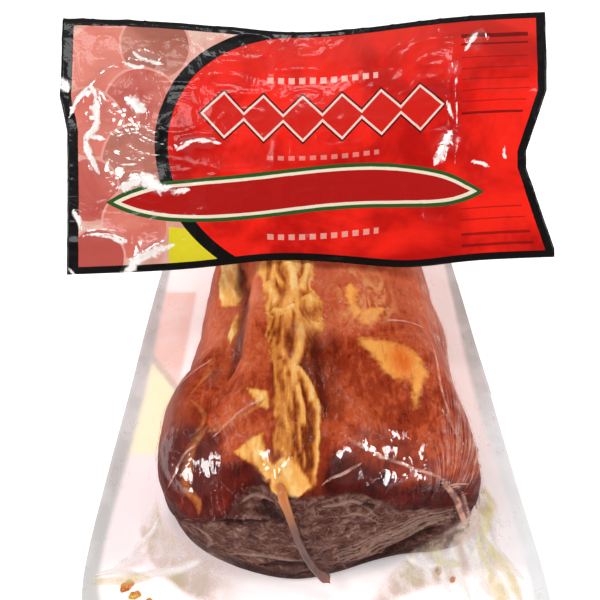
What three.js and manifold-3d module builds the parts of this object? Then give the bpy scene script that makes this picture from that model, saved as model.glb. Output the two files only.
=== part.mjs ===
// A piece of smoked pork loin in a sealed vacuum pouch. The pouch lies printed side down with its clear web
// on top, drawn tight over the meat, and its free end is folded up and forward over the far half of the loin,
// so that the print faces forward. Millimetres, +Z up, +Y away from the near end, origin under the middle.
import * as THREE from "three";
import { mergeVertices } from "three/addons/utils/BufferGeometryUtils.js";
import Module from "manifold-3d";

// Clearance left between neighbouring pieces
const GAP = 0.3;

// The bag: flat it is BAG_WIDTH wide, and the loin draws its sides in to FOOTPRINT_WIDTH
const BAG_WIDTH = 175;
const FOOTPRINT_WIDTH = 146;
const FOOTPRINT_LENGTH = 200;
const SEAL_WIDTH = 166;
const FILM_THICKNESS = 1.2;
const NEAR_LEFT_ROUND = 30;
const NEAR_RIGHT_ROUND = 20;
const MARGIN_CURL = 3.2;
const MARGIN_CURL_REACH = 7;
const MARGIN_RIPPLES = 11;

// The loin: its outline seen from above at its widest level, anticlockwise from the right side. A pinch in
// the left side parts a near lobe from the rest, and the cut near end runs back towards the right.
const LOIN_OUTLINE = [
  [50.3, 0], [48.6, 28], [46, 58], [37, 78], [16, 86], [-14, 86], [-34, 76], [-40, 50],
  [-42, 18], [-43.4, -10], [-44.6, -22], [-49.3, -38], [-50, -54], [-43, -68], [-28, -77.5], [-8, -82.5],
  [9, -80], [28.4, -73], [49.8, -66.8], [51.4, -52], [49.4, -28],
];
const LOIN_CENTRE = [2, -2];
const WIDEST_LEVEL = 26;
const CROWN_HEIGHT = 56;

// Forms of the top: a lower muscle on the left, a ridge of fat, and the long dents beside each
const SIDE_MUSCLE_DROP = 7;
const SIDE_MUSCLE_EDGE = -26;
const NEAR_DROP = 6;
const FAR_DROP = 8;
const RIGHT_SHOULDER_DROP = 9;
const GROOVE_DEPTH = 5;
const GROOVE_WIDTH = 4.5;
const GROOVE_SWAY = 1.5;
const VALLEY_DEPTH = 4.5;
const VALLEY_WIDTH = 6;
const FAT_RISE = 2.4;
const FAT_WIDTH = 8;
const FAT_MIDDLE = -6;

// The film's slope from the loin's side down to the margin: outward offset and height of each ring
const WEB_RINGS = [[1.4, 17], [3.2, 9], [6, 4.2], [10, 2.6]];
const WEB_CREASES = 26;

// The strip of sinew that hangs down the near face
const STRIP_WIDTH = 2.8;
const STRIP_ROUTE = [
  [-9.2, -74.4, 47.9], [-8.4, -79, 43.8], [-6.2, -81.7, 37.3], [-4.6, -83, 31.4], [-2.6, -83.6, 24.2],
  [0.1, -84, 17.2], [4.8, -84.6, 10.4],
];

// The folded end: its free edge rests on the loin, and the ridge is where it folds. Its front is longer on
// the right, and the ridge dips in the middle.
const FLAP_MIDDLE = -2;
const FREE_EDGE_Y = 10;
const FRONT_LENGTH = 89.6;
const FRONT_LENGTH_SKEW = 1.6;
const FRONT_TILT = THREE.MathUtils.degToRad(49.7);
const SEAL_Y = 98.4;
const FOLD_REACH = 4;
const BACK_BOW = 7;
const RIDGE_DIP = 6.1;
const FREE_EDGE_SKEW = 3.2;
const FREE_EDGE_SAG = 2.4;
const FREE_EDGE_DENT = 1.9;
const BACK_ROWS = 0.55;
const BULGE = 3;
const CRUMPLE = 1.1;

// Sideways shift of its right and left edges by distance below the ridge: the right one is nicked
const RIGHT_EDGE = [[-10, -1], [29, -0.7], [51, -8.2], [57, -8.2], [68, -4.2], [86, 2.1]];
const LEFT_EDGE = [[-10, 0.3], [28, -0.8], [41, 1.9], [93, 1.6]];

// How finely each piece is divided
const LOIN_CELLS = [36, 52];
const FILM_CELLS = [18, 24];
const FLAP_CELLS = [32, 38];

const bell = (distance, width) => Math.exp(-((distance / width) ** 2));

const ease = (value, from, to) => THREE.MathUtils.smoothstep(value, from, to);

// Smooth step for a falling variable: 0 above `from`, 1 below `to`
const easeDown = (value, from, to) => 1 - THREE.MathUtils.smoothstep(value, to, from);

// A level read off a row of places and levels, straight between them
function levelAt(place, knots) {
  const next = knots.findIndex(([knot]) => knot > place);
  if (next === 0) return knots[0][1];
  if (next < 0) return knots.at(-1)[1];
  const [[from, low], [to, high]] = knots.slice(next - 1, next + 1);
  return THREE.MathUtils.mapLinear(place, from, to, low, high);
}

// A solid of indexed triangles
function solidFrom(points, triangles) {
  const geometry = new THREE.BufferGeometry();
  geometry.setAttribute("position", new THREE.Float32BufferAttribute(points.flat(), 3));
  geometry.setIndex(triangles.flat());
  geometry.computeVertexNormals();
  return geometry;
}

// A square grid bent onto a disc and stretched to an outline. Each cell corner has its place, its reach,
// which is 1 on the outline, and how far it lies from there.
function outlineGrid([columns, rows], outline, [middleX, middleY]) {
  const grid = [];
  for (let j = 0; j <= rows; j++) {
    const row = [];
    for (let i = 0; i <= columns; i++) {
      const u = (2 * i) / columns - 1;
      const v = (2 * j) / rows - 1;
      const discX = u * Math.sqrt(1 - (v * v) / 2);
      const discY = v * Math.sqrt(1 - (u * u) / 2);
      const reach = Math.min(1, Math.hypot(discX, discY));
      const turn = (Math.atan2(discY, discX) / (2 * Math.PI) + 1) % 1;
      const edge = outline(turn);
      const radius = Math.hypot(edge.x - middleX, edge.y - middleY);
      row.push({
        x: middleX + reach * (edge.x - middleX),
        y: middleY + reach * (edge.y - middleY),
        reach,
        turn,
        endwise: Math.abs(edge.y - middleY) / radius,
        inset: (1 - reach) * radius,
      });
    }
    grid.push(row);
  }
  return grid;
}

// Grid indices of the rim, anticlockwise seen from above
function rimOf([columns, rows]) {
  const at = (i, j) => j * (columns + 1) + i;
  const rim = [];
  for (let i = 0; i < columns; i++) rim.push(at(i, 0));
  for (let j = 0; j < rows; j++) rim.push(at(columns, j));
  for (let i = columns; i > 0; i--) rim.push(at(i, rows));
  for (let j = rows; j > 0; j--) rim.push(at(0, j));
  return rim;
}

function gridTriangles([columns, rows], start, flipped) {
  const triangles = [];
  const at = (i, j) => start + j * (columns + 1) + i;
  for (let j = 0; j < rows; j++) {
    for (let i = 0; i < columns; i++) {
      const [a, b, c, d] = [at(i, j), at(i + 1, j), at(i + 1, j + 1), at(i, j + 1)];
      const pair = [[a, b, c], [a, c, d]];
      triangles.push(...(flipped ? pair.map(([p, q, r]) => [p, r, q]) : pair));
    }
  }
  return triangles;
}

// Triangles between two rings of equal count, the first lying above or inside the second
function bandTriangles(upper, lower) {
  return upper.flatMap((a, k) => {
    const next = (k + 1) % upper.length;
    return [[a, lower[k], lower[next]], [a, lower[next], upper[next]]];
  });
}

// A closed sheet of even thickness about a grid of middle points, thick across each point's normal
function sheetSolid(cells, middle, thickness) {
  const [columns, rows] = cells;
  const point = (i, j) => middle[THREE.MathUtils.clamp(j, 0, rows)][THREE.MathUtils.clamp(i, 0, columns)];
  const faces = [[], []];
  for (let j = 0; j <= rows; j++) {
    for (let i = 0; i <= columns; i++) {
      const along = new THREE.Vector3().subVectors(point(i + 1, j), point(i - 1, j));
      const across = new THREE.Vector3().subVectors(point(i, j + 1), point(i, j - 1));
      const normal = along.cross(across).normalize().multiplyScalar(thickness / 2);
      faces[0].push(point(i, j).clone().add(normal).toArray());
      faces[1].push(point(i, j).clone().sub(normal).toArray());
    }
  }
  const count = faces[0].length;
  const rim = rimOf(cells);
  return solidFrom(
    [...faces[0], ...faces[1]],
    [
      ...gridTriangles(cells, 0, false),
      ...gridTriangles(cells, count, true),
      ...bandTriangles(rim, rim.map((k) => k + count)),
    ],
  );
}

const loinCurve = new THREE.CatmullRomCurve3(
  LOIN_OUTLINE.map(([x, y]) => new THREE.Vector3(x, y, 0)), true, "catmullrom", 0.5,
);

// Height of the meat's top surface at full reach of its dome
function crownAt(x, y) {
  const grooveX = SIDE_MUSCLE_EDGE + GROOVE_SWAY * Math.sin(y / 18);
  const valleyX = FAT_MIDDLE + 11 + 0.04 * y;
  return CROWN_HEIGHT
    - SIDE_MUSCLE_DROP * easeDown(x, SIDE_MUSCLE_EDGE + 8, SIDE_MUSCLE_EDGE - 8)
    - NEAR_DROP * easeDown(y, -35, -82)
    - FAR_DROP * ease(y, 45, 86)
    - RIGHT_SHOULDER_DROP * ease(x, 5, 45) * easeDown(y, -30, -68)
    - GROOVE_DEPTH * bell(x - grooveX, GROOVE_WIDTH) * ease(y, -52, -32)
    - VALLEY_DEPTH * bell(x - valleyX, VALLEY_WIDTH) * bell(y + 32, 32)
    + FAT_RISE * bell(x - FAT_MIDDLE, FAT_WIDTH);
}

// The dome falls later along the loin than across it, and latest at the cut near end
function meatTop({ x, y, reach, endwise }) {
  const bluntness = 3 + (y < LOIN_CENTRE[1] ? 7 : 2.5) * endwise ** 3;
  const dome = Math.sqrt(Math.max(0, 1 - reach ** bluntness));
  return WIDEST_LEVEL + (crownAt(x, y) - WIDEST_LEVEL) * dome;
}

// The loin under its clear web: the meat's dome, the film's slope to the margin and a flat underside
function wrappedLoin() {
  const grid = outlineGrid(LOIN_CELLS, (turn) => loinCurve.getPoint(turn), LOIN_CENTRE).flat();
  const points = grid.map((cell) => [cell.x, cell.y, meatTop(cell)]);
  const triangles = gridTriangles(LOIN_CELLS, 0, false);

  const rim = rimOf(LOIN_CELLS);
  let upper = rim;
  for (const [offset, height] of WEB_RINGS) {
    const lower = rim.map((k) => {
      const { x, y, turn } = grid[k];
      const out = new THREE.Vector2(x - LOIN_CENTRE[0], (y - LOIN_CENTRE[1]) * 0.55).normalize();
      const crease = 1 + 0.22 * Math.sin(2 * Math.PI * turn * WEB_CREASES) * ease(offset, 1, 6);
      points.push([x + out.x * offset, y + out.y * offset, height * crease]);
      return points.length - 1;
    });
    triangles.push(...bandTriangles(upper, lower));
    upper = lower;
  }

  const bottomHeight = FILM_THICKNESS + GAP;
  const bottom = upper.map((k) => {
    points.push([points[k][0], points[k][1], bottomHeight]);
    return points.length - 1;
  });
  triangles.push(...bandTriangles(upper, bottom));
  const contour = bottom.map((k) => new THREE.Vector2(points[k][0], points[k][1]));
  const cap = THREE.ShapeUtils.triangulateShape(contour, []);
  triangles.push(...cap.map(([a, b, c]) => [bottom[a], bottom[c], bottom[b]]));
  return solidFrom(points, triangles);
}

// The strip of sinew, a round cord along its route
function sinewStrip() {
  const route = new THREE.CatmullRomCurve3(STRIP_ROUTE.map((point) => new THREE.Vector3(...point)));
  const section = new THREE.Shape().absarc(0, 0, STRIP_WIDTH / 2, 0, 2 * Math.PI);
  return new THREE.ExtrudeGeometry(section, { steps: 14, curveSegments: 8, extrudePath: route });
}

// Closed geometries joined into one
async function joined(...geometries) {
  const wasm = await Module();
  wasm.setup();
  const solids = geometries.map((geometry) => {
    geometry.deleteAttribute("normal");
    geometry.deleteAttribute("uv");
    const merged = mergeVertices(geometry, 1e-3);
    return new wasm.Manifold(new wasm.Mesh({
      numProp: 3,
      vertProperties: merged.getAttribute("position").array,
      triVerts: new Uint32Array(merged.index.array),
    }));
  });
  const mesh = solids.reduce((whole, solid) => whole.add(solid)).getMesh();
  const geometry = new THREE.BufferGeometry();
  geometry.setAttribute("position", new THREE.BufferAttribute(mesh.vertProperties, 3));
  geometry.setIndex(new THREE.BufferAttribute(mesh.triVerts, 1));
  geometry.computeVertexNormals();
  return geometry;
}

// The pouch's outline on the table, anticlockwise from the right side, wider again at the far seal
function footprint() {
  const [half, far, seal] = [FOOTPRINT_WIDTH / 2, FOOTPRINT_LENGTH / 2, SEAL_WIDTH / 2];
  return new THREE.Path()
    .moveTo(half, 0)
    .lineTo(half, far - 30)
    .quadraticCurveTo(half, far - 10, seal, far)
    .lineTo(-seal, far)
    .quadraticCurveTo(-half, far - 10, -half, far - 30)
    .lineTo(-half, NEAR_LEFT_ROUND - far)
    .quadraticCurveTo(-half, -far, NEAR_LEFT_ROUND - half, -far)
    .lineTo(half - NEAR_RIGHT_ROUND, -far)
    .quadraticCurveTo(half, -far, half, NEAR_RIGHT_ROUND - far)
    .lineTo(half, 0);
}

// The printed back web under the loin, flat in the middle and curling up a little along its free margins
function backFilm() {
  const outline = footprint();
  const middle = outlineGrid(FILM_CELLS, (turn) => outline.getPointAt(turn), [0, 0]).map((row) =>
    row.map(({ x, y, turn, inset }) => {
      const ripple = 0.5 + 0.5 * Math.sin(2 * Math.PI * turn * MARGIN_RIPPLES + 1);
      const lift = MARGIN_CURL * easeDown(inset, MARGIN_CURL_REACH, 0) * ripple * easeDown(y, 80, 60);
      return new THREE.Vector3(x, y, FILM_THICKNESS / 2 + lift);
    }));
  return sheetSolid(FILM_CELLS, middle, FILM_THICKNESS);
}

const frontLength = (side) =>
  FRONT_LENGTH + FRONT_LENGTH_SKEW * side - RIDGE_DIP * bell(side + 0.02, 0.52);

// One line down the folded end: up from the far seal, round the ridge and down to the free edge on the loin
function flapColumn(side) {
  const x = FLAP_MIDDLE + (side * BAG_WIDTH) / 2;
  const slope = new THREE.Vector3(0, Math.cos(FRONT_TILT), Math.sin(FRONT_TILT));
  const rest = new THREE.Vector3(x, FREE_EDGE_Y, CROWN_HEIGHT + FAT_RISE + GAP + FILM_THICKNESS);
  const onFront = (distance) => rest.clone().addScaledVector(slope, distance);
  const ridge = onFront(frontLength(side));
  const sag = FREE_EDGE_SAG * (1 - bell(side + 0.12, 0.28)) + FREE_EDGE_DENT * bell(side - 0.43, 0.2);
  const edge = onFront(FREE_EDGE_SKEW * side - sag);
  const seal = new THREE.Vector3((side * SEAL_WIDTH) / 2, SEAL_Y, FILM_THICKNESS + 1.5 * GAP);
  const towards = (from, to) => from.clone().addScaledVector(to.clone().sub(from).normalize(), FOLD_REACH);
  const foldStart = towards(ridge, seal);
  const bow = foldStart.clone().add(seal).multiplyScalar(0.5).add(new THREE.Vector3(0, 2 * BACK_BOW, 0));
  const path = new THREE.CurvePath();
  path.add(new THREE.QuadraticBezierCurve3(seal, bow, foldStart));
  path.add(new THREE.QuadraticBezierCurve3(foldStart, ridge, towards(ridge, edge)));
  path.add(new THREE.LineCurve3(towards(ridge, edge), edge));
  return path;
}

// Share of a column's length at a row, so that one row runs along the ridge
function shareAlong(path, row) {
  const [back, ridgeEnd, whole] = path.getCurveLengths();
  const ridge = (back + ridgeEnd) / 2 / whole;
  return row < BACK_ROWS
    ? (row / BACK_ROWS) * ridge
    : THREE.MathUtils.mapLinear(row, BACK_ROWS, 1, ridge, 1);
}

// The printed free end of the pouch: its front bulges, its right side is nicked, and all of it is crumpled
function printedFlap() {
  const [columns, rows] = FLAP_CELLS;
  const middle = Array.from({ length: rows + 1 }, () => []);
  const restHeight = CROWN_HEIGHT + FAT_RISE;
  for (let i = 0; i <= columns; i++) {
    const side = (2 * i) / columns - 1;
    const path = flapColumn(side);
    for (let j = 0; j <= rows; j++) {
      const row = 1 - j / rows;
      const along = shareAlong(path, row);
      const point = path.getPointAt(along);
      const below = frontLength(side) - (point.z - restHeight) / Math.sin(FRONT_TILT);
      const front = ease(row, BACK_ROWS - 0.1, BACK_ROWS);
      point.x += levelAt(below, RIGHT_EDGE) * ease(side, 0.53, 1) * front;
      point.x += levelAt(below, LEFT_EDGE) * ease(-side, 0.53, 1) * front;
      const away = ease(along, 0, 0.1) * easeDown(along, 1, 0.9);
      const crumple = Math.sin(9 * side + 14 * along) * Math.sin(17 * along - 5 * side);
      const bulge = Math.cos((side * Math.PI) / 2) * bell(along - 0.8, 0.12);
      point.y += (CRUMPLE * crumple - BULGE * bulge) * away;
      middle[j].push(point);
    }
  }
  return sheetSolid(FLAP_CELLS, middle, FILM_THICKNESS);
}

const meatLook = new THREE.MeshStandardMaterial({ color: 0x8a3a22, roughness: 0.3, metalness: 0 });
const backLook = new THREE.MeshStandardMaterial({ color: 0xe6dcdc, roughness: 0.35, metalness: 0 });
const printLook = new THREE.MeshStandardMaterial({ color: 0xc8140f, roughness: 0.25, metalness: 0 });

function named(name, geometry, material) {
  const mesh = new THREE.Mesh(geometry, material);
  mesh.name = name;
  return mesh;
}

const pouch = new THREE.Group();
pouch.add(named("back_film", backFilm(), backLook));
pouch.add(named("wrapped_loin", await joined(wrappedLoin(), sinewStrip()), meatLook));
pouch.add(named("printed_flap", printedFlap(), printLook));

// The origin goes under the middle of the whole
const box = new THREE.Box3().setFromObject(pouch);
const middle = box.getCenter(new THREE.Vector3());
pouch.position.set(-middle.x, -middle.y, -box.min.z);

const group = new THREE.Group();
group.add(pouch);

export default group;
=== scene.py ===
"""A piece of smoked pork loin in a sealed vacuum pouch, with its printed free end folded over the far half.

Shapes are worked out in millimetres in the pack's own plan. Its origin lies under the middle of the back web,
and +Y runs from the loin's cut near end to the fold. `placed` turns them into metres in the CAD frame.
"""

import itertools
import math
from functools import partialmethod

import bpy
import numpy as np
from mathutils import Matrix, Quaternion, Vector


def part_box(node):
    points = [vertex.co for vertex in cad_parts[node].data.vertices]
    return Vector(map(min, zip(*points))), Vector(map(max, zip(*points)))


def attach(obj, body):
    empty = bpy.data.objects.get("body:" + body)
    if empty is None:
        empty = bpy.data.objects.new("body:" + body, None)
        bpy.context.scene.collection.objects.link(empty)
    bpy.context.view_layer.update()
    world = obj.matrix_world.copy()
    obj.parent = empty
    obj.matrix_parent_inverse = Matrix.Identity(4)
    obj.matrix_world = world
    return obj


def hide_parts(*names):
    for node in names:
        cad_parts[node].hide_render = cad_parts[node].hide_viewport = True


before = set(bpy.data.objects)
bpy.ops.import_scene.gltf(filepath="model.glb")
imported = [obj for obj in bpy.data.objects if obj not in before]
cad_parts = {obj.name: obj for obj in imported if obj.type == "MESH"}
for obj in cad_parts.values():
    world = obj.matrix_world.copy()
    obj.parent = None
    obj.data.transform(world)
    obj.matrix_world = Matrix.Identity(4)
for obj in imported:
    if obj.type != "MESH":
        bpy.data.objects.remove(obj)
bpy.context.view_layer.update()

MM = 0.001
FOOTPRINT = (146.0, 200.0)
web_low, web_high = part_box("back_film")
PLAN_ORIGIN = np.array([
    (web_low.x + web_high.x) / 2 / MM,
    web_high.y / MM - FOOTPRINT[1] / 2,
    0.0,
])


# Numbers and fields

def ease(value, low, high):
    """0 at low and 1 at high, with a smooth step between them."""
    share = np.clip((value - low) / (high - low), 0, 1)
    return share * share * (3 - 2 * share)


def window(value, rise, full, fade, end):
    """1 between full and fade, and 0 before rise and after end."""
    return ease(value, rise, full) * (1 - ease(value, fade, end))


def bell(distance, width):
    return np.exp(-((distance / width) ** 2))


def noise(points, size, seed):
    """Smooth bumps from -1 to 1 in space, about size apart. size may differ along each axis."""
    table = np.random.default_rng(seed).uniform(-1, 1, (32, 32, 32))
    scaled = points / np.asarray(size, float)
    cell = np.floor(scaled).astype(int)
    part = scaled - cell
    part = part * part * (3 - 2 * part)
    total = np.zeros(points.shape[:-1])
    for corner in itertools.product((0, 1), repeat=3):
        i, j, k = np.moveaxis((cell + corner) % 32, -1, 0)
        weight = np.prod(np.where(corner, part, 1 - part), axis=-1)
        total += table[i, j, k] * weight
    return total


def ridges(points, size, seed):
    """Thin crests, 1 on the crest and 0 away from it."""
    return np.clip(1 - 3.2 * np.abs(noise(points, size, seed)), 0, 1) ** 2


def spline(a, b, c, d, t):
    """The curve from b to c at t, 0 to 1, with a and d before and after it."""
    return 0.5 * (2 * b + (c - a) * t + (2 * a - 5 * b + 4 * c - d) * t**2 + (3 * b - a - 3 * c + d) * t**3)


def smooth_line(points, steps=12):
    """A curve through the points, sampled evenly between each two."""
    knots = np.array(points, float)
    knots = np.vstack([2 * knots[0] - knots[1], knots, 2 * knots[-1] - knots[-2]])
    t = np.linspace(0, 1, steps, endpoint=False)[:, None]
    spans = [spline(*four, t) for four in zip(knots, knots[1:], knots[2:], knots[3:])]
    return np.vstack([*spans, knots[-2]])


def line_distance(x, y, points, smoothed=True):
    """Distance from the line and how far along it, from 0 to 1, the nearest place is."""
    line = smooth_line(points) if smoothed else np.array(points, float)
    best = np.full(np.shape(x), np.inf)
    along = np.zeros(np.shape(x))
    for n, (a, b) in enumerate(zip(line, line[1:])):
        run = b - a
        t = np.clip(((x - a[0]) * run[0] + (y - a[1]) * run[1]) / (run @ run), 0, 1)
        distance = np.hypot(x - a[0] - t * run[0], y - a[1] - t * run[1])
        nearer = distance < best
        best = np.where(nearer, distance, best)
        along = np.where(nearer, (n + t) / (len(line) - 1), along)
    return best, along


# The reach of places that are away from every line, the thinnest half width of a line in mm, and the share of
# its length in which it thins out
OFF_LINE = 4.0
THINNEST = 0.06
TAPER = 0.3


def line_reach(x, y, lines):
    """Distance from the nearest line in half widths, so below 1 on it. Lines thin out towards their ends."""
    nearest = np.full(np.shape(x), OFF_LINE)
    for line, width in lines:
        distance, along = line_distance(x, y, line)
        half = width / 2 * np.sqrt(between_ends(along, -0.02, TAPER))
        nearest = np.minimum(nearest, distance / np.maximum(half, THINNEST))
    return nearest


def between_ends(along, low, high):
    """1 along a line, and down to 0 towards both its ends."""
    return ease(along, low, high) * ease(1 - along, low, high)


def inked(reach, soft=0.6):
    """1 on a line and 0 off it, from its reach."""
    return 1 - ease(reach, 1 - soft, 1 + soft)


def patch_depth(x, y, corners):
    """Signed distance from a closed patch's edge, positive inside it."""
    ring = [*corners, corners[0]]
    distance, _ = line_distance(x, y, ring, smoothed=False)
    inside = np.zeros(np.shape(x), bool)
    for (ax, ay), (bx, by) in zip(ring, ring[1:]):
        crosses = (ay > y) != (by > y)
        level = ax + (y - ay) * (bx - ax) / (by - ay if by != ay else 1e-9)
        inside ^= crosses & (x < level)
    return np.where(inside, distance, -distance)


def linear(colour):
    """A screen colour, 0 to 255, as linear light."""
    return tuple(((c / 255 + 0.055) / 1.055) ** 2.4 if c > 10 else c / 255 / 12.92 for c in colour)


# Meshes

def placed(points):
    """Plan millimetres to metres in the CAD frame."""
    return (points + PLAN_ORIGIN) * MM


def mesh_object(name, points, faces, fields=None):
    """A mesh of plan millimetres, with a named number for each point in fields."""
    mesh = bpy.data.meshes.new(name)
    mesh.from_pydata(placed(points).tolist(), [], faces)
    for field, values in (fields or {}).items():
        kind = "FLOAT_VECTOR" if np.ndim(values) == 2 else "FLOAT"
        attribute = mesh.attributes.new(field, kind, "POINT")
        attribute.data.foreach_set("vector" if kind == "FLOAT_VECTOR" else "value",
                                   np.ascontiguousarray(values, np.float32).ravel())
    mesh.polygons.foreach_set("use_smooth", [True] * len(mesh.polygons))
    mesh.update()
    piece = bpy.data.objects.new(name, mesh)
    bpy.context.scene.collection.objects.link(piece)
    return piece


def grid_faces(rows, columns, start=0, flipped=False):
    """Quads over a grid of rows by columns points, counted row by row."""
    j, i = np.meshgrid(np.arange(rows - 1), np.arange(columns - 1), indexing="ij")
    corner = (start + j * columns + i).ravel()
    quads = np.stack([corner, corner + 1, corner + columns + 1, corner + columns], axis=1)
    return (quads[:, ::-1] if flipped else quads).tolist()


def ring_faces(rings, sides, start=0):
    """Quads between rings of points, counted ring by ring."""
    faces = []
    for j in range(rings - 1):
        for i in range(sides):
            a, b = start + j * sides + i, start + j * sides + (i + 1) % sides
            faces.append([a, b, b + sides, a + sides])
    return faces


def grid_rim(rows, columns):
    """The outer points of a grid, anticlockwise seen from its front."""
    near = list(range(columns))
    right = [j * columns + columns - 1 for j in range(1, rows)]
    far = [(rows - 1) * columns + i for i in range(columns - 2, -1, -1)]
    left = [j * columns for j in range(rows - 2, 0, -1)]
    return near + right + far + left


def grid_normals(points):
    across = np.gradient(points, axis=1)
    along = np.gradient(points, axis=0)
    normal = np.cross(across, along)
    return normal / np.maximum(np.linalg.norm(normal, axis=-1, keepdims=True), 1e-9)


def sheet_object(name, middle, thickness, fields):
    """A closed thin sheet about a grid of middle points. Its back side takes the second material."""
    rows, columns = middle.shape[:2]
    offset = grid_normals(middle) * thickness / 2
    points = np.concatenate([(middle + offset).reshape(-1, 3), (middle - offset).reshape(-1, 3)])
    count = rows * columns
    rim = grid_rim(rows, columns)
    edge = [[a, a + count, b + count, b] for a, b in zip(rim, rim[1:] + rim[:1])]
    faces = grid_faces(rows, columns) + grid_faces(rows, columns, count, flipped=True) + edge
    doubled = {
        field: np.concatenate([values.reshape(count, -1)] * 2).squeeze()
        for field, values in fields.items()
    }
    piece = mesh_object(name, points, faces, doubled)
    back = np.zeros(len(faces), np.int32)
    back[(rows - 1) * (columns - 1):2 * (rows - 1) * (columns - 1)] = 1
    piece.data.polygons.foreach_set("material_index", back)
    return piece


def disc_grid(columns, rows, crowding):
    """Reach from the middle, 1 on the rim, and turn, from 0 to 1, of a square grid bent onto a disc. Crowding
    draws its rows together towards the near end."""
    u, v = np.meshgrid(np.linspace(-1, 1, columns), np.linspace(-1, 1, rows))
    v = v - crowding * (1 - v * v)
    x = u * np.sqrt(1 - v * v / 2)
    y = v * np.sqrt(1 - u * u / 2)
    return np.clip(np.hypot(x, y), 0, 1), (np.arctan2(y, x) / (2 * np.pi)) % 1


# The loin's form

LOIN_OUTLINE = [
    (50.3, 0), (48.6, 28), (46, 58), (37, 78), (16, 86), (-14, 86), (-34, 76), (-40, 50),
    (-42, 18), (-43.4, -10), (-44.6, -22), (-49.3, -38), (-50, -54), (-43, -68), (-28, -77.5), (-8, -82.5),
    (9, -80), (28.4, -73), (49.8, -66.8), (51.4, -52), (49.4, -28),
]
LOIN_CENTRE = np.array([2.0, -2.0])
WIDEST_LEVEL = 26.0
CROWN_HEIGHT = 56.0
UNDERSIDE = 1.9
TUCK = 9.0
SIDE_BLUNTNESS = 3.0
FAR_BLUNTNESS = 5.5
NEAR_BLUNTNESS = 10.0
DOME_TABLE = (15, 129)
TOP_SHARE = 0.76
LOIN_GRID = (240, 380)
LOIN_CROWDING = 0.26

# Forms of the top: a lower muscle on the left, a ridge of fat, and the long dents beside each
SIDE_MUSCLE_DROP = 7.0
SIDE_MUSCLE_EDGE = -26.0
NEAR_DROP = 6.0
FAR_DROP = 8.0
RIGHT_SHOULDER_DROP = 9.0
GROOVE_DEPTH = 5.0
GROOVE_WIDTH = 4.5
GROOVE_SWAY = 1.5
VALLEY_DEPTH = 4.5
VALLEY_WIDTH = 6.0
FAT_RISE = 2.4
FAT_WIDTH = 8.0
FAT_MIDDLE = -6.0

# The shoulder level below which plan distances are measured on down the cut near face
WRAP_LEVEL = 46.0


def outline_at(turn):
    """The loin's outline at its widest level, seen from above."""
    knots = np.array(LOIN_OUTLINE, float)
    count = len(knots)
    place = np.asarray(turn) % 1 * count
    first = np.floor(place).astype(int)
    t = (place - first)[..., None]
    return spline(*(knots[(first + shift) % count] for shift in (-1, 0, 1, 2)), t)


def crown_at(x, y, groove_depth):
    """Height of the top at full reach of its dome, with the side muscle, the dents and the ridge of fat."""
    groove = SIDE_MUSCLE_EDGE + GROOVE_SWAY * np.sin(y / 18)
    valley = FAT_MIDDLE + 11 + 0.04 * y
    return (
        CROWN_HEIGHT
        - SIDE_MUSCLE_DROP * (1 - ease(x, SIDE_MUSCLE_EDGE - 8, SIDE_MUSCLE_EDGE + 8))
        - NEAR_DROP * (1 - ease(y, -82, -35))
        - FAR_DROP * ease(y, 45, 86)
        - RIGHT_SHOULDER_DROP * ease(x, 5, 45) * (1 - ease(y, -68, -30))
        - groove_depth * bell(x - groove, GROOVE_WIDTH) * ease(y, -52, -32)
        - VALLEY_DEPTH * bell(x - valley, VALLEY_WIDTH) * bell(y + 32, 32)
        + FAT_RISE * bell(x - FAT_MIDDLE, FAT_WIDTH)
    )


def dome_angle(share, bluntness):
    """The angle of a blunt dome's profile at an even share of its length, 0 at the crown."""
    kinds, places = DOME_TABLE
    angle = np.linspace(0, np.pi / 2, 400)
    rows = []
    for power in np.linspace(SIDE_BLUNTNESS, NEAR_BLUNTNESS, kinds):
        out, up = 2.2 * np.sin(angle) ** (2 / power), np.cos(angle)
        length = np.concatenate([[0], np.cumsum(np.hypot(np.diff(out), np.diff(up)))])
        rows.append(np.interp(np.linspace(0, 1, places), length / length[-1], angle))
    table = np.array(rows)
    kind = (bluntness - SIDE_BLUNTNESS) / (NEAR_BLUNTNESS - SIDE_BLUNTNESS)
    i = np.clip(kind * (kinds - 1), 0, kinds - 1.001)
    j = np.clip(share * (places - 1), 0, places - 1.001)
    i0, j0 = np.floor(i).astype(int), np.floor(j).astype(int)
    fi, fj = i - i0, j - j0
    low = table[i0, j0] * (1 - fj) + table[i0, j0 + 1] * fj
    high = table[i0 + 1, j0] * (1 - fj) + table[i0 + 1, j0 + 1] * fj
    return low * (1 - fi) + high * fi


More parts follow.
